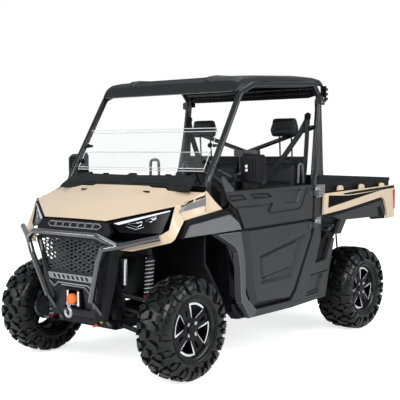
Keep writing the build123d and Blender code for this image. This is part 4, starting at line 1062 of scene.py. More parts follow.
def windscreen():
    """Two overlapping clear panes with polished edges traced in pale pipes of painted highlight, a folded top lip
    and knobs at the clamps.
    """
    bm = bmesh.new()
    # edges collects pale pipes along the panes' edges: a painted highlight where the clear edges catch the light.
    edges = bmesh.new()
    for z0, z1, lift in ((1301, 1426, 0), (1318, 1566, LAP)):
        outline = [glass_point(x, z, lift) for x, z in ((-PANE + 4, z0), (PANE - 4, z0), (PANE - 8, z1),
                                                        (-PANE + 8, z1))]
        prism(bm, outline, Vector((0, -0.0042, 0.0026)))
        for z in (z0 + 1, z1 - 1):
            pipe(edges, [glass_point(-PANE + 6, z, lift + 3), glass_point(PANE - 6, z, lift + 3)], 0.0028,
                 sides=6)
        for sign in (-1, 1):
            pipe(edges, [glass_point(sign * (PANE - 5), z0, lift + 3),
                         glass_point(sign * (PANE - 8), z1, lift + 3)], 0.002, sides=6)
    a, b = glass_point(-PANE + 10, 1566, LAP), glass_point(PANE - 10, 1566, LAP)
    fold = Vector((0, -0.016, 0.020))
    prism(bm, [a, b, b + fold, a + fold], Vector((0, -0.003, -0.001)))
    pipe(edges, [a + fold, b + fold], 0.0024, sides=6)
    finish_piece("windscreen_panes", bm, CLEAR, bevel=0.0008, replaces=["windshield"])
    finish_piece("windscreen_edge_highlights", edges, EDGE)
    knobs = bmesh.new()
    for sign in (-1, 1):
        for z, lift in ((1360, 0), (1470, LAP)):
            lathe_knob(knobs, glass_point(sign * 585, z, lift + 7), Vector((0, -0.84, 0.54)), 0.017, 0.014)
    finish_piece("windscreen_knobs", knobs, TRIM_AND_SHADE, bevel=0.001)


def cowl():
    """The black panel under the glass: a smooth sloping shelf with shallow drain pockets."""
    bm = bmesh.new()
    section = [(-616, 1204), (-590, 1262), (-420, 1290), (-402, 1276), (-47, 1272), (-30, 1286), (30, 1286),
               (47, 1272), (402, 1276), (420, 1290), (590, 1262), (612, 1206)]

    def on_cowl(x, z, lift=0.0):
        """A point on the cowl's slope."""
        return front(x, 108 + (z - 1180) * 1.30 - lift, z)

    def pocket(x0, x1, z0, z1, lift):
        """The four corners of a pocket on the slope."""
        return [on_cowl(x, z, lift) for x, z in ((x0, z0), (x1, z0), (x1, z1), (x0, z1))]

    foot = [(612, 1184), (452, 1182), (404, 1203), (-404, 1203), (-452, 1182), (-616, 1184)]
    prism(bm, [on_cowl(x, z) for x, z in section + foot], Vector((0, 0.010, -0.012)))
    for x0, x1, z0, z1 in ((-590, -460, 1206, 1250), (-420, -60, 1214, 1262), (60, 420, 1214, 1262),
                           (460, 586, 1206, 1250)):
        loft(bm, pocket(x0, x1, z0, z1, 0), pocket(x0 + 14, x1 - 14, z0 + 7, z1 - 7, 5))
    finish_piece("cowl_panel", bm, BLACK, bevel=0.003, replaces=["cowl"])
    feet = bmesh.new()
    for sign in (-1, 1):
        brick(feet, front(sign * 280, 263, 1206), front(sign * 320, 284, 1280))
    finish_piece("cowl_feet", feet, TRIM_AND_SHADE)


# ---------------------------------------------------------------- cab fittings
def pillar_covers():
    """Dark grey covers that widen down each rear pillar, with a shoulder plate at the top."""
    for side, sign in SIDES:
        bm = bmesh.new()
        p = outward(sign)
        sections = [
            (1822, 1568, 1612, 628, 668), (1700, 1560, 1606, 636, 676), (1560, 1548, 1600, 646, 686),
            (1430, 1530, 1594, 656, 694), (1300, 1506, 1588, 664, 702), (1200, 1462, 1596, 668, 706),
            (1178, 1450, 1602, 668, 708), (1110, 1448, 1602, 668, 712), (940, 1448, 1580, 668, 714),
        ]
        loops = []
        for z, y0, y1, x0, x1 in sections:
            shape = [(x0, y0), (x1 - 8, y0), (x1, y0 + 10), (x1, y1 - 8), (x1 - 8, y1), (x0, y1)]
            loops.append([bm.verts.new(p(x, y, z)) for x, y in shape])
        shell(bm, loops)
        slab(bm, [(1560, 1790), (1618, 1780), (1618, 1820), (1590, 1850), (1560, 1840)], sign, 690, -50)
        finish_piece(f"pillar_cover_{side}", bm, GREY, bevel=0.004)
        bolts = bmesh.new()
        for y, z in ((1578, 1800), (1596, 1832)):
            lathe_knob(bolts, p(690, y, z), ACROSS * sign, 0.007, 0.005, 6)
        finish_piece(f"pillar_bolts_{side}", bolts, STEEL)


BELT_WIDTH, BELT_THICKNESS = 0.046, 0.0016


def belts():
    """Seat belts: a guide on each pillar, webbing down to the seat, and a buckle."""
    for side, sign in SIDES:
        webbing = bmesh.new()
        shoulder = ((596, 1530, 1684), (592, 1524, 1560), (586, 1512, 1340), (578, 1500, 1180))
        across = ((596, 1530, 1684), (540, 1500, 1560), (430, 1452, 1390), (330, 1400, 1240),
                  (214, 1340, 1010))
        for route, lean in ((shoulder, 0.2), (across, 0.6)):
            ribbon(webbing, [front(sign * x, y, z) for x, y, z in route], Vector((lean, 1, 0)))
        finish_piece(f"belt_{side}", webbing, WEBBING)
        guide = bmesh.new()
        slab(guide, [(1500, 1668), (1556, 1672), (1562, 1712), (1530, 1724), (1498, 1706)], sign, 604, -22)
        brick(guide, front(sign * 200, 1322, 960), front(sign * 228, 1358, 1030))
        finish_piece(f"belt_guide_{side}", guide, TRIM_AND_SHADE, bevel=0.004)


def ribbon(bm, line, across_dir):
    """Flat webbing along a line of points."""
    rings = []
    for i, point in enumerate(line):
        before, after = line[max(0, i - 1)], line[min(len(line) - 1, i + 1)]
        run = (after - before).normalized()
        wide = (across_dir - run * across_dir.dot(run)).normalized()
        thin = run.cross(wide)
        rings.append([bm.verts.new(point + wide * BELT_WIDTH * a / 2 + thin * BELT_THICKNESS * b / 2)
                      for a, b in ((-1, -1), (1, -1), (1, 1), (-1, 1))])
    shell(bm, rings)


def mirrors():
    """Ribbed mirror shells on bent arms, with two small bright squares of painted highlight on their backs and a
    pale glass that faces the driver.
    """
    for side, sign in SIDES:
        p = outward(sign)
        bm = bmesh.new()
        face = [(758, 1238), (914, 1222), (930, 1248), (930, 1384), (914, 1410), (762, 1420), (744, 1398),
                (744, 1254)]
        back = [(776, 1252), (904, 1238), (914, 1256), (914, 1376), (904, 1392), (778, 1400), (762, 1386),
                (762, 1266)]
        loft(bm, [p(x, 498, z) for x, z in face], [p(x, 520, z) for x, z in face])
        loft(bm, [p(x, 498, z) for x, z in face], [p(x, 462, z) for x, z in back])
        for k in range(5):
            x = 786 + k * 24
            prism(bm, [p(x, 464, 1256), p(x + 5, 464, 1256), p(x + 5, 464, 1384), p(x, 464, 1384)],
                  Vector((0, -0.006, 0)))
        finish_piece(f"mirror_shell_{side}", bm, BLACK, bevel=0.004, replaces=once(side, "mirrors"))
        # Two small bright squares on the shell's back: a painted glint where the shell catches the light.
        painted_glint = bmesh.new()
        for x, z0, z1 in ((806, 1300, 1318), (806, 1326, 1344)):
            prism(painted_glint, [p(x, 458, z0), p(x + 20, 458, z0), p(x + 20, 458, z1), p(x, 458, z1)],
                  Vector((0, -0.003, 0)))
        finish_piece(f"mirror_back_highlight_{side}", painted_glint, REFLECTOR_AND_HIGHLIGHT, bevel=0.001)
        glass = bmesh.new()
        inner = [(x * 0.9 + 837 * 0.1, z * 0.9 + 1318 * 0.1) for x, z in face]
        prism(glass, [p(x, 520, z) for x, z in inner], Vector((0, 0.002, 0)))
        finish_piece(f"mirror_glass_{side}", glass, MIRROR)
        arm = bmesh.new()
        route = bent([p(652, 318, 1330), p(704, 330, 1300), p(740, 410, 1262), p(776, 452, 1290)], 0.04)
        pipe(arm, route, 0.009, sides=12)
        brick(arm, p(640, 300, 1306), p(690, 340, 1352))
        brick(arm, p(736, 400, 1240), p(776, 460, 1282))
        pipe(arm, [p(756, 470, 1240), p(756, 470, 1400)], 0.006, sides=10)
        finish_piece(f"mirror_arm_{side}", arm, CAGE, bevel=0.003)


def grab_bars():
    """The passenger's hoop on the dash, and hand grips in the cab."""
    bm = bmesh.new()
    hoop = bent([front(4, 410, 1206), front(8, 416, 1372), front(84, 416, 1372), front(88, 410, 1206)], 0.03)
    pipe(bm, hoop, 0.010, sides=14)
    finish_piece("grab_hoop", bm, FLARE)
    grips = bmesh.new()
    for sign in (-1, 1):
        loop = bent([front(sign * 575, 1500, 1190), front(sign * 575, 1490, 1330),
                     front(sign * 575, 1440, 1334), front(sign * 575, 1430, 1190)], 0.03)
        pipe(grips, loop, 0.010, sides=12)
    finish_piece("seat_grips", grips, FLARE)


roof()
windscreen()
cowl()
pillar_covers()
belts()
mirrors()
grab_bars()


# ---------------------------------------------------------------- grille, guard and winch
FASCIA_EDGE = [(988, -300), (920, -330), (866, -326), (655, -330), (600, -326), (504, -296), (430, -290),
               (362, -276)]


def fascia_y(z):
    """How far forward the fascia's face is at a height."""
    for (z1, y1), (z0, y0) in zip(FASCIA_EDGE, FASCIA_EDGE[1:]):
        if z0 <= z <= z1:
            return y0 + (y1 - y0) * (z - z0) / (z1 - z0)
    return FASCIA_EDGE[-1][1]


def on_face(x, z, lift=0.0):
    """A point on the fascia's face, or in front of it by lift."""
    return front(x, fascia_y(z) - lift, z)


def face_plate(bm, points, lift, depth, surface=0):
    """A plate that follows the fascia's face, from (x, z) pairs."""
    prism(bm, [on_face(x, z, lift) for x, z in points], Vector((0, depth / 1000, 0)), surface)


def mirrored(points):
    """An outline closed by its own mirror image across the middle."""
    return points + [(-x, z) for x, z in reversed(points)]


def grille_width(z):
    """Half the width of the grille's opening at a height."""
    if z > 852:
        return 300
    return 218 + (314 - 218) * (z - 664) / (852 - 664)


def fascia():
    """The nose: a vented upper bar, a bevelled grille frame, the drilled strip and the winch panel."""
    bm = bmesh.new()
    upper = [(286, 992), (318, 984), (352, 936), (330, 884), (300, 880)]
    prism(bm, [front(x, -300 - (992 - z) * 0.30, z) for x, z in mirrored(upper)], Vector((0, 0.030, 0)))
    prism(bm, [on_face(x, z, 6) for x, z in mirrored([(322, 880), (306, 868)])], Vector((0, 0.030, 0)))
    finish_piece("nose_bar", bm, TRIM_AND_SHADE, bevel=0.004, replaces=["front_fascia"])
    vents = bmesh.new()
    cells = 7
    for k in range(cells):
        x0 = -226 + k * 70.5
        x1 = x0 + 60
        zc = 962
        shape = [(x0, zc + 16), (x1, zc + 16), (x1, zc - 16), (x0, zc - 16)]
        if k == 0:
            shape = [(x0 + 16, zc + 16), (x1, zc + 16), (x1, zc - 16), (x0 + 16, zc - 16), (x0 - 12, zc)]
        if k == cells - 1:
            shape = [(x0, zc + 16), (x1 - 16, zc + 16), (x1 + 12, zc), (x1 - 16, zc - 16), (x0, zc - 16)]
        ring = [front(x, -306 - (992 - z) * 0.30, z) for x, z in shape]
        prism(vents, ring, Vector((0, 0.008, 0)), 1)
        pipe(vents, [v + Vector((0, -0.002, 0)) for v in ring], 0.0042, sides=6, surface=0, closed=True)
    finish_piece("nose_vents", vents, [BRIGHT_AND_HIGHLIGHT, TRIM_AND_SHADE])

    frame_bm = bmesh.new()
    outer = mirrored([(316, 882), (338, 868), (332, 838), (236, 640)])
    inner = mirrored([(298, 866), (310, 852), (308, 848), (216, 666)])
    ring_plate(frame_bm, outer, inner, 8, 26)
    face_plate(frame_bm, mirrored([(236, 646), (224, 600)]), 8, 18)
    finish_piece("grille_frame", frame_bm, NOSE, bevel=0.003)

    holes = bmesh.new()
    for k in range(8):
        x = -154 + k * 44
        face_plate(holes, [(x - 17, 636), (x + 3, 636), (x + 17, 612), (x - 3, 612)], 11, 3)
    finish_piece("strip_holes", holes, TRIM_AND_SHADE, bevel=0.0005)
    plate = bmesh.new()
    face_plate(plate, mirrored([(222, 645), (210, 604)]), 10, 2)
    finish_piece("strip_plate", plate, BRIGHT_AND_HIGHLIGHT, bevel=0.002)

    lower = bmesh.new()
    for sign in (-1, 1):
        face_plate(lower, [(sign * 232, 598), (sign * 84, 598), (sign * 84, 536), (sign * 210, 500)], 0, 14)
        face_plate(lower, [(sign * 84, 540), (sign * 210, 502), (sign * 182, 428), (sign * 84, 428)], 0, 14)
    face_plate(lower, [(-84, 598), (84, 598), (84, 548), (-84, 548)], 0, 14)
    face_plate(lower, [(-182, 430), (182, 430), (150, 362), (-150, 362)], 0, 14)
    finish_piece("nose_lower", lower, NOSE, bevel=0.003)
    # Bright pipes traced along the lower nose's ridges: painted highlight where the black plastic catches the
    # light.
    ridge = bmesh.new()
    path = [(-222, 586), (-186, 548), (-140, 580), (150, 580), (196, 540)]
    pipe(ridge, [on_face(x, z, 3) for x, z in path], 0.005, sides=8)
    pipe(ridge, [on_face(x, z, 3) for x, z in ((-110, 566), (110, 566), (150, 520), (168, 432))], 0.0035,
         sides=8)
    finish_piece("nose_ridge_highlights", ridge, BRIGHT_AND_HIGHLIGHT)


def ring_plate(bm, outer, inner, lift, depth):
    """A closed frame between two outlines with equal counts, standing on the fascia's face."""
    count = len(outer)
    for k in range(count):
        m = (k + 1) % count
        face_plate(bm, [outer[k], outer[m], inner[m], inner[k]], lift, depth)


def grille_mesh():
    """An open lattice of long hexagons, with raised bars that run down to a vee in the middle."""
    bm = bmesh.new()
    column, pitch, bar = 40.0, 23.0, 6.4
    for col in range(-9, 10):
        x = col * column
        for row in range(11):
            z = 874 - row * pitch - (pitch / 2 if col % 2 else 0)
            tip = column / 3
            corners = [(x - tip, z), (x + tip, z), (x + 2 * tip, z - pitch / 2), (x + tip, z - pitch)]
            for (ax, az), (bx, bz) in zip(corners, corners[1:]):
                limit = min(grille_width(az), grille_width(bz)) - 1
                if max(abs(ax), abs(bx)) < limit and max(az, bz) < 868 and min(az, bz) > 664:
                    bar_between(bm, (ax, az), (bx, bz), bar, 11)
    finish_piece("grille_mesh", bm, MESH, replaces=["grille"])
    vee = bmesh.new()
    for k in range(9):
        top = 910 - k * 34
        for sign in (-1, 1):
            ax, az, bx, bz = 236, top, 12, top - 150
            if bz < 668:
                share = (az - 668) / (az - bz)
                bx, bz = ax + (bx - ax) * share, 668
            if az > 864:
                share = (az - 864) / (az - bz)
                ax, az = ax + (bx - ax) * share, 864
            if az > bz and bx < grille_width(bz) and ax < grille_width(az) - 4:
                bar_between(vee, (sign * ax, az), (sign * bx, bz), 5.0, 13.0, lift=3)
    finish_piece("grille_vee", vee, MESH)
    back = bmesh.new()
    face_plate(back, [(-110, 868), (300, 868), (312, 852), (218, 662), (-110, 662)], -48, 8)
    finish_piece("grille_screen", back, TRIM_AND_SHADE)


def bar_between(bm, start, end, width, depth, lift=0.0):
    """One straight bar of the grille between two (x, z) points on the face."""
    a, b = Vector(start), Vector(end)
    run = b - a
    if run.length < 1:
        return
    side = Vector((-run.y, run.x)).normalized() * width / 2
    a, b = a - run.normalized() * width * 0.3, b + run.normalized() * width * 0.3
    quad = [a + side, b + side, b - side, a - side]
    prism(bm, [on_face(q.x, q.y, lift) for q in quad], Vector((0, depth / 1000, 0)))


def guard_details():
    """Collars on the brush guard, the nose's cheeks and tan strips, and the grille's brackets."""
    bm = bmesh.new()
    for sign in (-1, 1):
        a, b = front(sign * 423, -332, 851), front(sign * 650, -197, 910)
        along = (b - a).normalized()
        pipe(bm, [b - along * 0.004, b + along * 0.003], 0.0195, sides=24)
        for x in (180, 210):
            spot = front(sign * x, -388, 912)
            pipe(bm, [spot - Vector((0.007, 0, 0)), spot + Vector((0.007, 0, 0))], 0.0212, sides=24)
        pipe(bm, [a - along * 0.002, a + along * 0.034], 0.0212, sides=24)
    finish_piece("guard_collars", bm, GUARD, bevel=0.0012)
    cheeks = bmesh.new()
    columns = (((338, -316), (286, -322), (236, -326), (214, -312), (192, -300), (150, -276)),
               ((356, -318), (332, -306), (310, -306), (296, -300), (280, -294), (240, -272)),
               ((470, -250), (356, -250), (342, -250), (324, -260), (304, -274), (264, -262)))
    heights = (872, 770, 664, 560, 466, 352)
    for sign in (-1, 1):
        lines = [[front(sign * x, y, z) for (x, y), z in zip(column, heights)] for column in columns]
        facets = [[a[k], b[k], b[k + 1], a[k + 1]] for a, b in zip(lines, lines[1:]) for k in range(5)]
        skin(cheeks, facets, 0.006)
    finish_piece("nose_cheeks", cheeks, BLACK, bevel=0.006, sharp=30)
    strip = bmesh.new()
    for sign in (-1, 1):
        prism(strip, [front(sign * x, y, z) for x, y, z in ((330, -338, 828), (520, -262, 866),
                                                            (520, -262, 874), (330, -338, 836))],
              Vector((0, -0.004, 0.001)))
    finish_piece("nose_strips", strip, TAN)
    badge = bmesh.new()
    for sign in (-1, 1):
        face_plate(badge, [(sign * 292, 850), (sign * 306, 850), (sign * 284, 780), (sign * 272, 780)], 12, 6)
    finish_piece("grille_brackets", badge, BRIGHT_AND_HIGHLIGHT, bevel=0.001)


def winch_front():
    """Roller fairlead in the nose panel's window, round orange stopper, cast hook and its pull strap."""
    plate = bmesh.new()
    for x0, x1, z0, z1 in ((-70, 70, 538, 552), (-70, 70, 424, 436), (-70, -60, 424, 552),
                           (60, 70, 424, 552)):
        brick(plate, front(x0, -318, z0), front(x1, -284, z1))
    brick(plate, front(-84, -280, 426), front(84, -276, 550))
    finish_piece("fairlead_plate", plate, TRIM_AND_SHADE, bevel=0.002, replaces=["winch"])
    rollers = bmesh.new()
    for x in (-50, 50):
        pipe(rollers, [front(x, -316, 440), front(x, -316, 536)], 0.009, sides=18)
    pipe(rollers, [front(-40, -304, 446), front(40, -304, 446)], 0.009, sides=18)
    finish_piece("fairlead_rollers", rollers, MACHINED, bevel=0.001)
    drum = bmesh.new()
    turned(drum, [(-110, 34), (-104, 40), (-60, 40), (-56, 22), (56, 22), (60, 40), (104, 40), (110, 34)],
           front(0, -226, 476), ACROSS, 40)
    brick(drum, front(-100, -260, 419), front(-60, -202, 460))
    brick(drum, front(60, -260, 419), front(100, -202, 460))
    finish_piece("winch_drum", drum, CHASSIS, bevel=0.002)
    stop = bmesh.new()
    turned(stop, [(-30, 14), (-27, 28), (-18, 34), (4, 35), (16, 30), (20, 18)], front(0, -322, 484),
           BACKWARD)
    finish_piece("winch_stop", stop, ORANGE, bevel=0.0015)
    hook = bmesh.new()
    centre = front(-20, -340, 396)
    arc = [centre + Vector((0.0275 * sin(a), 0, 0.0275 * cos(a))) for a in
           [radians(16 + k * 18) for k in range(17)]]
    pipe(hook, arc, 0.011, sides=12)
    pipe(hook, [centre + Vector((0.007, 0, 0.0265)), front(-14, -340, 446)], 0.011, sides=12)
    eye = [front(-14, -342, 456) + Vector((0.015 * cos(a), 0, 0.015 * sin(a))) for a in
           [radians(k * 24) for k in range(15)]]
    pipe(hook, eye, 0.007, sides=10, closed=True)
    pipe(hook, [front(-14, -342, 468), front(-4, -334, 482)], 0.006, sides=10)
    finish_piece("winch_claw", hook, CASTHOOK, replaces=["winch_hook"])
    tongue = bmesh.new()
    prism(tongue, [centre + Vector((dx, -0.003, dz)) for dx, dz in ((0.002, 0.024), (0.010, 0.024),
                                                                    (0.024, -0.006), (0.018, -0.010))],
          Vector((0, 0.006, 0)))
    finish_piece("winch_tongue", tongue, STEEL)
    strap = bmesh.new()
    knots = ((196, -240, 352), (184, -252, 340), (168, -264, 328), (146, -280, 314))
    for surface, (start, end) in enumerate(zip(knots, knots[1:])):
        pipe(strap, [front(*start), front(*end)], 0.009, sides=10, surface=surface)
    finish_piece("pull_strap", strap, [YELLOW, TRIM_AND_SHADE, RED])


fascia()
grille_mesh()
guard_details()
winch_front()


# ---------------------------------------------------------------- padded seats
CLOTH_FRAMES = 20


def swell(piece, cap):
    """Blows the closed mesh up like stuffed fabric with the cloth solver, and limits how far it moves."""
    mesh = piece.data
    rest = [v.co.copy() for v in mesh.vertices]
    cloth = piece.modifiers.new("cloth", "CLOTH")
    cloth.settings.quality = 4
    cloth.settings.mass = 0.3
    cloth.settings.tension_stiffness = 15
    cloth.settings.compression_stiffness = 15
    cloth.settings.bending_stiffness = 0.6
    cloth.settings.use_pressure = True
    cloth.settings.uniform_pressure_force = 4.0
    cloth.settings.effector_weights.gravity = 0
    cloth.collision_settings.use_self_collision = False
    cloth.point_cache.frame_start = 1
    cloth.point_cache.frame_end = CLOTH_FRAMES
    scene = bpy.context.scene
    for frame_number in range(1, CLOTH_FRAMES + 1):
        scene.frame_set(frame_number)
    deps = bpy.context.evaluated_depsgraph_get()
    moved = [v.co.copy() for v in piece.evaluated_get(deps).data.vertices]
    piece.modifiers.clear()
    scene.frame_set(1)
    for vert, old, new in zip(mesh.vertices, rest, moved):
        shift = new - old
        vert.co = old + shift * min(1.0, cap / max(shift.length, 1e-9))


def cushion(name, low, high, voxel, cap, channels):
    """A stuffed pad between two outlines: remeshed, swollen, then sewn along its channels."""
    bm = bmesh.new()
    loft(bm, low, high)
    bmesh.ops.recalc_face_normals(bm, faces=bm.faces)
    bmesh.ops.bevel(bm, geom=list(bm.edges), offset=0.022, segments=3, profile=0.6, affect="EDGES",
                    clamp_overlap=True)
    mesh = bpy.data.meshes.new(name)
    bm.to_mesh(mesh)
    bm.free()
    piece = bpy.data.objects.new(name, mesh)
    bpy.context.scene.collection.objects.link(piece)
    remesh = piece.modifiers.new("remesh", "REMESH")
    remesh.mode = "VOXEL"
    remesh.voxel_size = voxel
    bake(piece)
    swell(piece, cap)
    for start, end, face_dir, width, depth in channels:
        run = (end - start).normalized()
        for vert in piece.data.vertices:
            rel = vert.co - start
            along = max(0.0, min((end - start).length, rel.dot(run)))
            offset = rel - run * along
            flat = offset - face_dir * offset.dot(face_dir)
            if offset.dot(face_dir) > -0.05 and flat.length < width:
                fall = 0.5 + 0.5 * cos(pi * flat.length / width)
                vert.co -= face_dir * depth * fall * fall
    fine = piece.modifiers.new("smooth", "SUBSURF")
    fine.levels = 1
    bake(piece)
    for polygon in piece.data.polygons:
        polygon.use_smooth = True
    piece.data.materials.clear()
    piece.data.materials.append(SEAT)
    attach(piece, "chassis")
    return piece


def piping(name, loops):
    """Thin sewn welts along a pad's edges."""
    bm = bmesh.new()
    for points in loops:
        pipe(bm, bent(points, 0.03, 5), 0.0035, sides=8)
    finish_piece(name, bm, WELT)


def seats():
    """Two-part bench: base pads, raked back pads, head restraints on their posts."""
    for side, sign in SIDES:
        p = outward(sign)
        base = cushion(f"seat_pad_{side}",
                       [p(12, 1040, 700), p(550, 1040, 700), p(550, 1480, 700), p(12, 1480, 700)],
                       [p(18, 1046, 782), p(542, 1046, 782), p(542, 1470, 772), p(18, 1470, 772)],
                       0.010, 0.012,
                       [(p(60, 1150, 800), p(500, 1150, 800), UP, 0.022, 0.008),
                        (p(120, 1150, 800), p(120, 1450, 790), UP, 0.022, 0.008),
                        (p(440, 1150, 800), p(440, 1450, 790), UP, 0.022, 0.008)])
        normal = Vector((0, -0.985, 0.17))
        back = cushion(f"back_pad_{side}",
                       [p(16, 1410, 806), p(544, 1410, 806), p(536, 1448, 1336), p(24, 1448, 1336)],
                       [p(16, 1480, 806), p(544, 1480, 806), p(536, 1508, 1336), p(24, 1508, 1336)],
                       0.010, 0.012,
                       [(p(70, 1408, 930), p(490, 1408, 930), normal, 0.022, 0.009),
                        (p(70, 1426, 1180), p(490, 1426, 1180), normal, 0.022, 0.009),
                        (p(130, 1410, 930), p(130, 1428, 1180), normal, 0.022, 0.009),
                        (p(430, 1410, 930), p(430, 1428, 1180), normal, 0.022, 0.009)])
        rest = cushion(f"head_pad_{side}",
                       [p(288, 1478, 1542), p(514, 1478, 1542), p(532, 1478, 1596), p(506, 1482, 1688),
                        p(296, 1482, 1688), p(270, 1478, 1596)],
                       [p(298, 1528, 1546), p(504, 1528, 1546), p(522, 1528, 1600), p(496, 1528, 1682),
                        p(306, 1528, 1682), p(280, 1528, 1600)],
                       0.006, 0.007,
                       [(p(340, 1474, 1604), p(462, 1474, 1604), -BACKWARD, 0.014, 0.007),
                        (p(330, 1474, 1634), p(472, 1474, 1634), -BACKWARD, 0.012, 0.005)])
        if side == "left":
            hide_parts("seat_base")
            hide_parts("seat_back")
            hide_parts("headrests")
        piping(f"seat_welt_{side}", [[p(30, 1052, 786), p(530, 1052, 786)],
                                     [p(34, 1446, 1340), p(526, 1446, 1340)]])
        posts = bmesh.new()
        for x in (346, 456):
            pipe(posts, [p(x, 1514, 1560), p(x, 1520, 1470), p(x, 1528, 1340)], 0.0065, sides=10)
        finish_piece(f"head_posts_{side}", posts, CHASSIS)


seats()


# ---------------------------------------------------------------- springs and liners
def coil(bm, start, end, radius, wire, turns):
    """A helical spring between two points."""
    axis = (end - start).normalized()
    side = axis.orthogonal().normalized()
    other = axis.cross(side)
    steps = int(turns * 18)
    line = []
    for k in range(steps + 1):
        angle = 2 * pi * turns * k / steps
        line.append(start.lerp(end, k / steps) + (side * cos(angle) + other * sin(angle)) * radius)
    pipe(bm, line, wire, sides=8)


def coil_overs():
    """Front and rear shocks: body, reservoir and hose, two coils, red rings, and the sway links."""
    springs, bodies_bm, rings, reserve, hoses = (bmesh.new() for _ in range(5))
    for point, top in ((front, 784), (rear, 736)):
        for sign in (-1, 1):
            head = point(sign * 436, -50, top)
            foot = point(sign * 448, -110, 264)
            axis = (foot - head).normalized()
            length = (foot - head).length
            turned(bodies_bm, [(0, 12), (2, 16), (18, 16), (20, 21), (length * 480, 21), (length * 490, 24),
                               (length * 500, 24), (length * 500 + 1, 9), (length * 1000, 9)], head, axis, 24)
            coil(springs, head + axis * 0.030, head + axis * (length * 0.52), 0.026, 0.0036, 10)
            coil(springs, head + axis * (length * 0.52), head + axis * (length * 0.93), 0.026, 0.0036, 7)
            turned(rings, [(length * 520 - 8, 24), (length * 520 - 7, 30), (length * 520 + 3, 30),
                           (length * 520 + 4, 24)], head, axis, 28)
            turned(rings, [(length * 935, 12), (length * 936, 30), (length * 945, 30), (length * 946, 12)],
                   head, axis, 28)
            tank = point(sign * 286, -132, top - 36)
            turned(reserve, [(0, 10), (3, 19), (16, 21), (18, 19), (150, 19), (152, 21), (168, 21),
                             (172, 12)], tank, -UP, 24)
            hose = [tank + Vector((0, 0, 0.004)), tank + Vector((0, 0.02, 0.028)),
                    head + Vector((0, -0.012, 0.0)), head + Vector((0, 0, -0.01))]
            pipe(hoses, bent(hose, 0.02), 0.005, sides=8)
    finish_piece("coils", springs, PALE)
    finish_piece("shock_bodies", bodies_bm, CHASSIS, replaces=["shocks"])
    finish_piece("preload_rings", rings, REDRING)
    finish_piece("reservoirs", reserve, ALLOY)
    finish_piece("reservoir_hoses", hoses, TRIM_AND_SHADE)
    links = bmesh.new()
    for sign in (-1, 1):
        pipe(links, [front(sign * 372, -60, 300), front(sign * 372, -66, 440)], 0.006, sides=10)
        for z in (300, 440):
            turned(links, [(-9, 10), (9, 10)], front(sign * 372, -63, z), ACROSS, 16)
    finish_piece("sway_links", links, ALLOY)


def arch_liners():
    """Black moulded liners inside the front arches, with three ribs and an inner wall."""
    for side, sign in SIDES:
        p = outward(sign)
        bm = bmesh.new()
        inner, outer = 300, 690
        line = [(-40, 940), (250, 905), (398, 822), (432, 766), (444, 560), (452, 420), (500, 360),
                (560, 330)]
        facets = []
        for (y0, z0), (y1, z1) in zip(line, line[1:]):
            facets.append([p(outer, y0, z0), p(inner, y0, z0 + (20 if z0 > 800 else 0)),
                           p(inner, y1, z1 + (20 if z1 > 800 else 0)), p(outer, y1, z1)])
        skin(bm, facets, 0.005)
        for k in range(3):
            x = 380 + k * 96
            prism(bm, [p(x, 431, 740), p(x + 60, 431, 740), p(x + 60, 441, 500), p(x, 441, 500)],
                  Vector((0, -0.012, 0)))
        finish_piece(f"arch_liner_{side}", bm, TRIM_AND_SHADE, bevel=0.003, sharp=30)
        wall = bmesh.new()
        slab(wall, [(-40, 958), (250, 925), (440, 780), (452, 420), (240, 420), (240, 640), (-40, 700)],
             sign, 300, -5)
        finish_piece(f"arch_wall_{side}", wall, TRIM_AND_SHADE)


coil_overs()
arch_liners()


# ---------------------------------------------------------------- studio
def ray_mix(links, nodes, out_socket, seen, lit):
    """Camera and transmission rays see one shader, and everything else is lit by the other."""
    path = nodes.new("ShaderNodeLightPath")
    either = nodes.new("ShaderNodeMath")
    either.operation = "MAXIMUM"
    links.new(path.outputs["Is Camera Ray"], either.inputs[0])
    links.new(path.outputs["Is Transmission Ray"], either.inputs[1])
    choice = nodes.new("ShaderNodeMixShader")
    links.new(either.outputs["Value"], choice.inputs["Fac"])
    links.new(lit.outputs[0], choice.inputs[1])
    links.new(seen.outputs[0], choice.inputs[2])
    links.new(choice.outputs[0], out_socket)


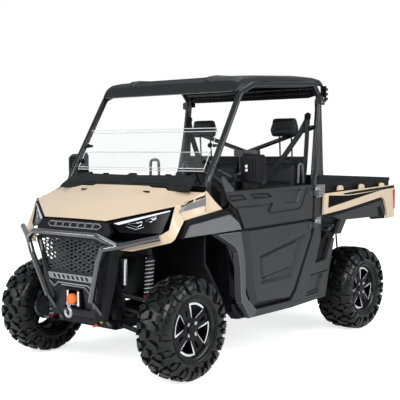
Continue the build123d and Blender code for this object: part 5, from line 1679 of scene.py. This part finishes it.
def studio():
    """White backdrop, pale floor, a broad key from the front left and soft fills."""
    world = bpy.data.worlds.new("studio")
    bpy.context.scene.world = world
    world.use_nodes = True
    nodes = world.node_tree.nodes
    links = world.node_tree.links
    nodes.clear()
    out = nodes.new("ShaderNodeOutputWorld")
    seen = nodes.new("ShaderNodeBackground")
    seen.inputs["Color"].default_value = (1, 1, 1, 1)
    seen.inputs["Strength"].default_value = 1.0
    lit = nodes.new("ShaderNodeBackground")
    lit.inputs["Color"].default_value = (0.93, 0.96, 1, 1)
    lit.inputs["Strength"].default_value = 0.55
    ray_mix(links, nodes, out.inputs["Surface"], seen, lit)

    bpy.ops.mesh.primitive_plane_add(size=80, location=(0, 0, -0.001))
    floor = bpy.context.object
    floor.name = "floor"
    pale = bpy.data.materials.new("floor")
    pale.use_nodes = True
    shader = pale.node_tree.nodes["Principled BSDF"]
    shader.inputs["Base Color"].default_value = (0.93, 0.93, 0.93, 1)
    shader.inputs["Roughness"].default_value = 0.9
    shader.inputs["Specular IOR Level"].default_value = 0.0
    nodes = pale.node_tree.nodes
    links = pale.node_tree.links
    brighter = nodes.new("ShaderNodeAddShader")
    glow = nodes.new("ShaderNodeEmission")
    glow.inputs["Strength"].default_value = 0.72
    links.new(shader.outputs[0], brighter.inputs[0])
    links.new(glow.outputs[0], brighter.inputs[1])
    ray_mix(links, nodes, nodes["Material Output"].inputs["Surface"], brighter, shader)
    floor.data.materials.append(pale)

    for name, spot, size, power in (
            ("key", (4.5, -5.5, 5.5), (4.0, 3.0), 330),
            ("left_strip", (6.5, 1.5, 3.2), (5.0, 2.0), 170),
            ("front_fill", (-3.5, -6.0, 2.6), (3.0, 3.0), 110),
            ("edge", (2.2, -6.4, 3.4), (0.22, 3.4), 60),
            ("top", (0.0, 0.5, 6.5), (5.0, 5.0), 160)):
        lamp = bpy.data.lights.new(name, "AREA")
        lamp.shape = "RECTANGLE"
        lamp.size, lamp.size_y = size
        lamp.energy = power
        light = bpy.data.objects.new(name, lamp)
        bpy.context.scene.collection.objects.link(light)
        light.location = spot
        light.rotation_euler = (Vector((0, 0, 0.8)) - light.location).to_track_quat("-Z", "Y").to_euler()


def camera():
    """The photograph's view: from the front left, a little above the belt line."""
    azimuth, elevation, roll = radians(39.9), radians(3.36), radians(-0.1)
    data = bpy.data.cameras.new("camera")
    data.sensor_width = 36
    data.lens = 76.7
    view = bpy.data.objects.new("camera", data)
    bpy.context.scene.collection.objects.link(view)
    view.location = (4.133, -5.1165, 1.441)
    look = Vector((-sin(azimuth) * cos(elevation), cos(azimuth) * cos(elevation), -sin(elevation)))
    turn = look.to_track_quat("-Z", "Y") @ Matrix.Rotation(roll, 3, "Z").to_quaternion()
    view.rotation_euler = turn.to_euler()
    bpy.context.scene.camera = view


studio()
camera()
bpy.context.scene.view_settings.view_transform = "Standard"
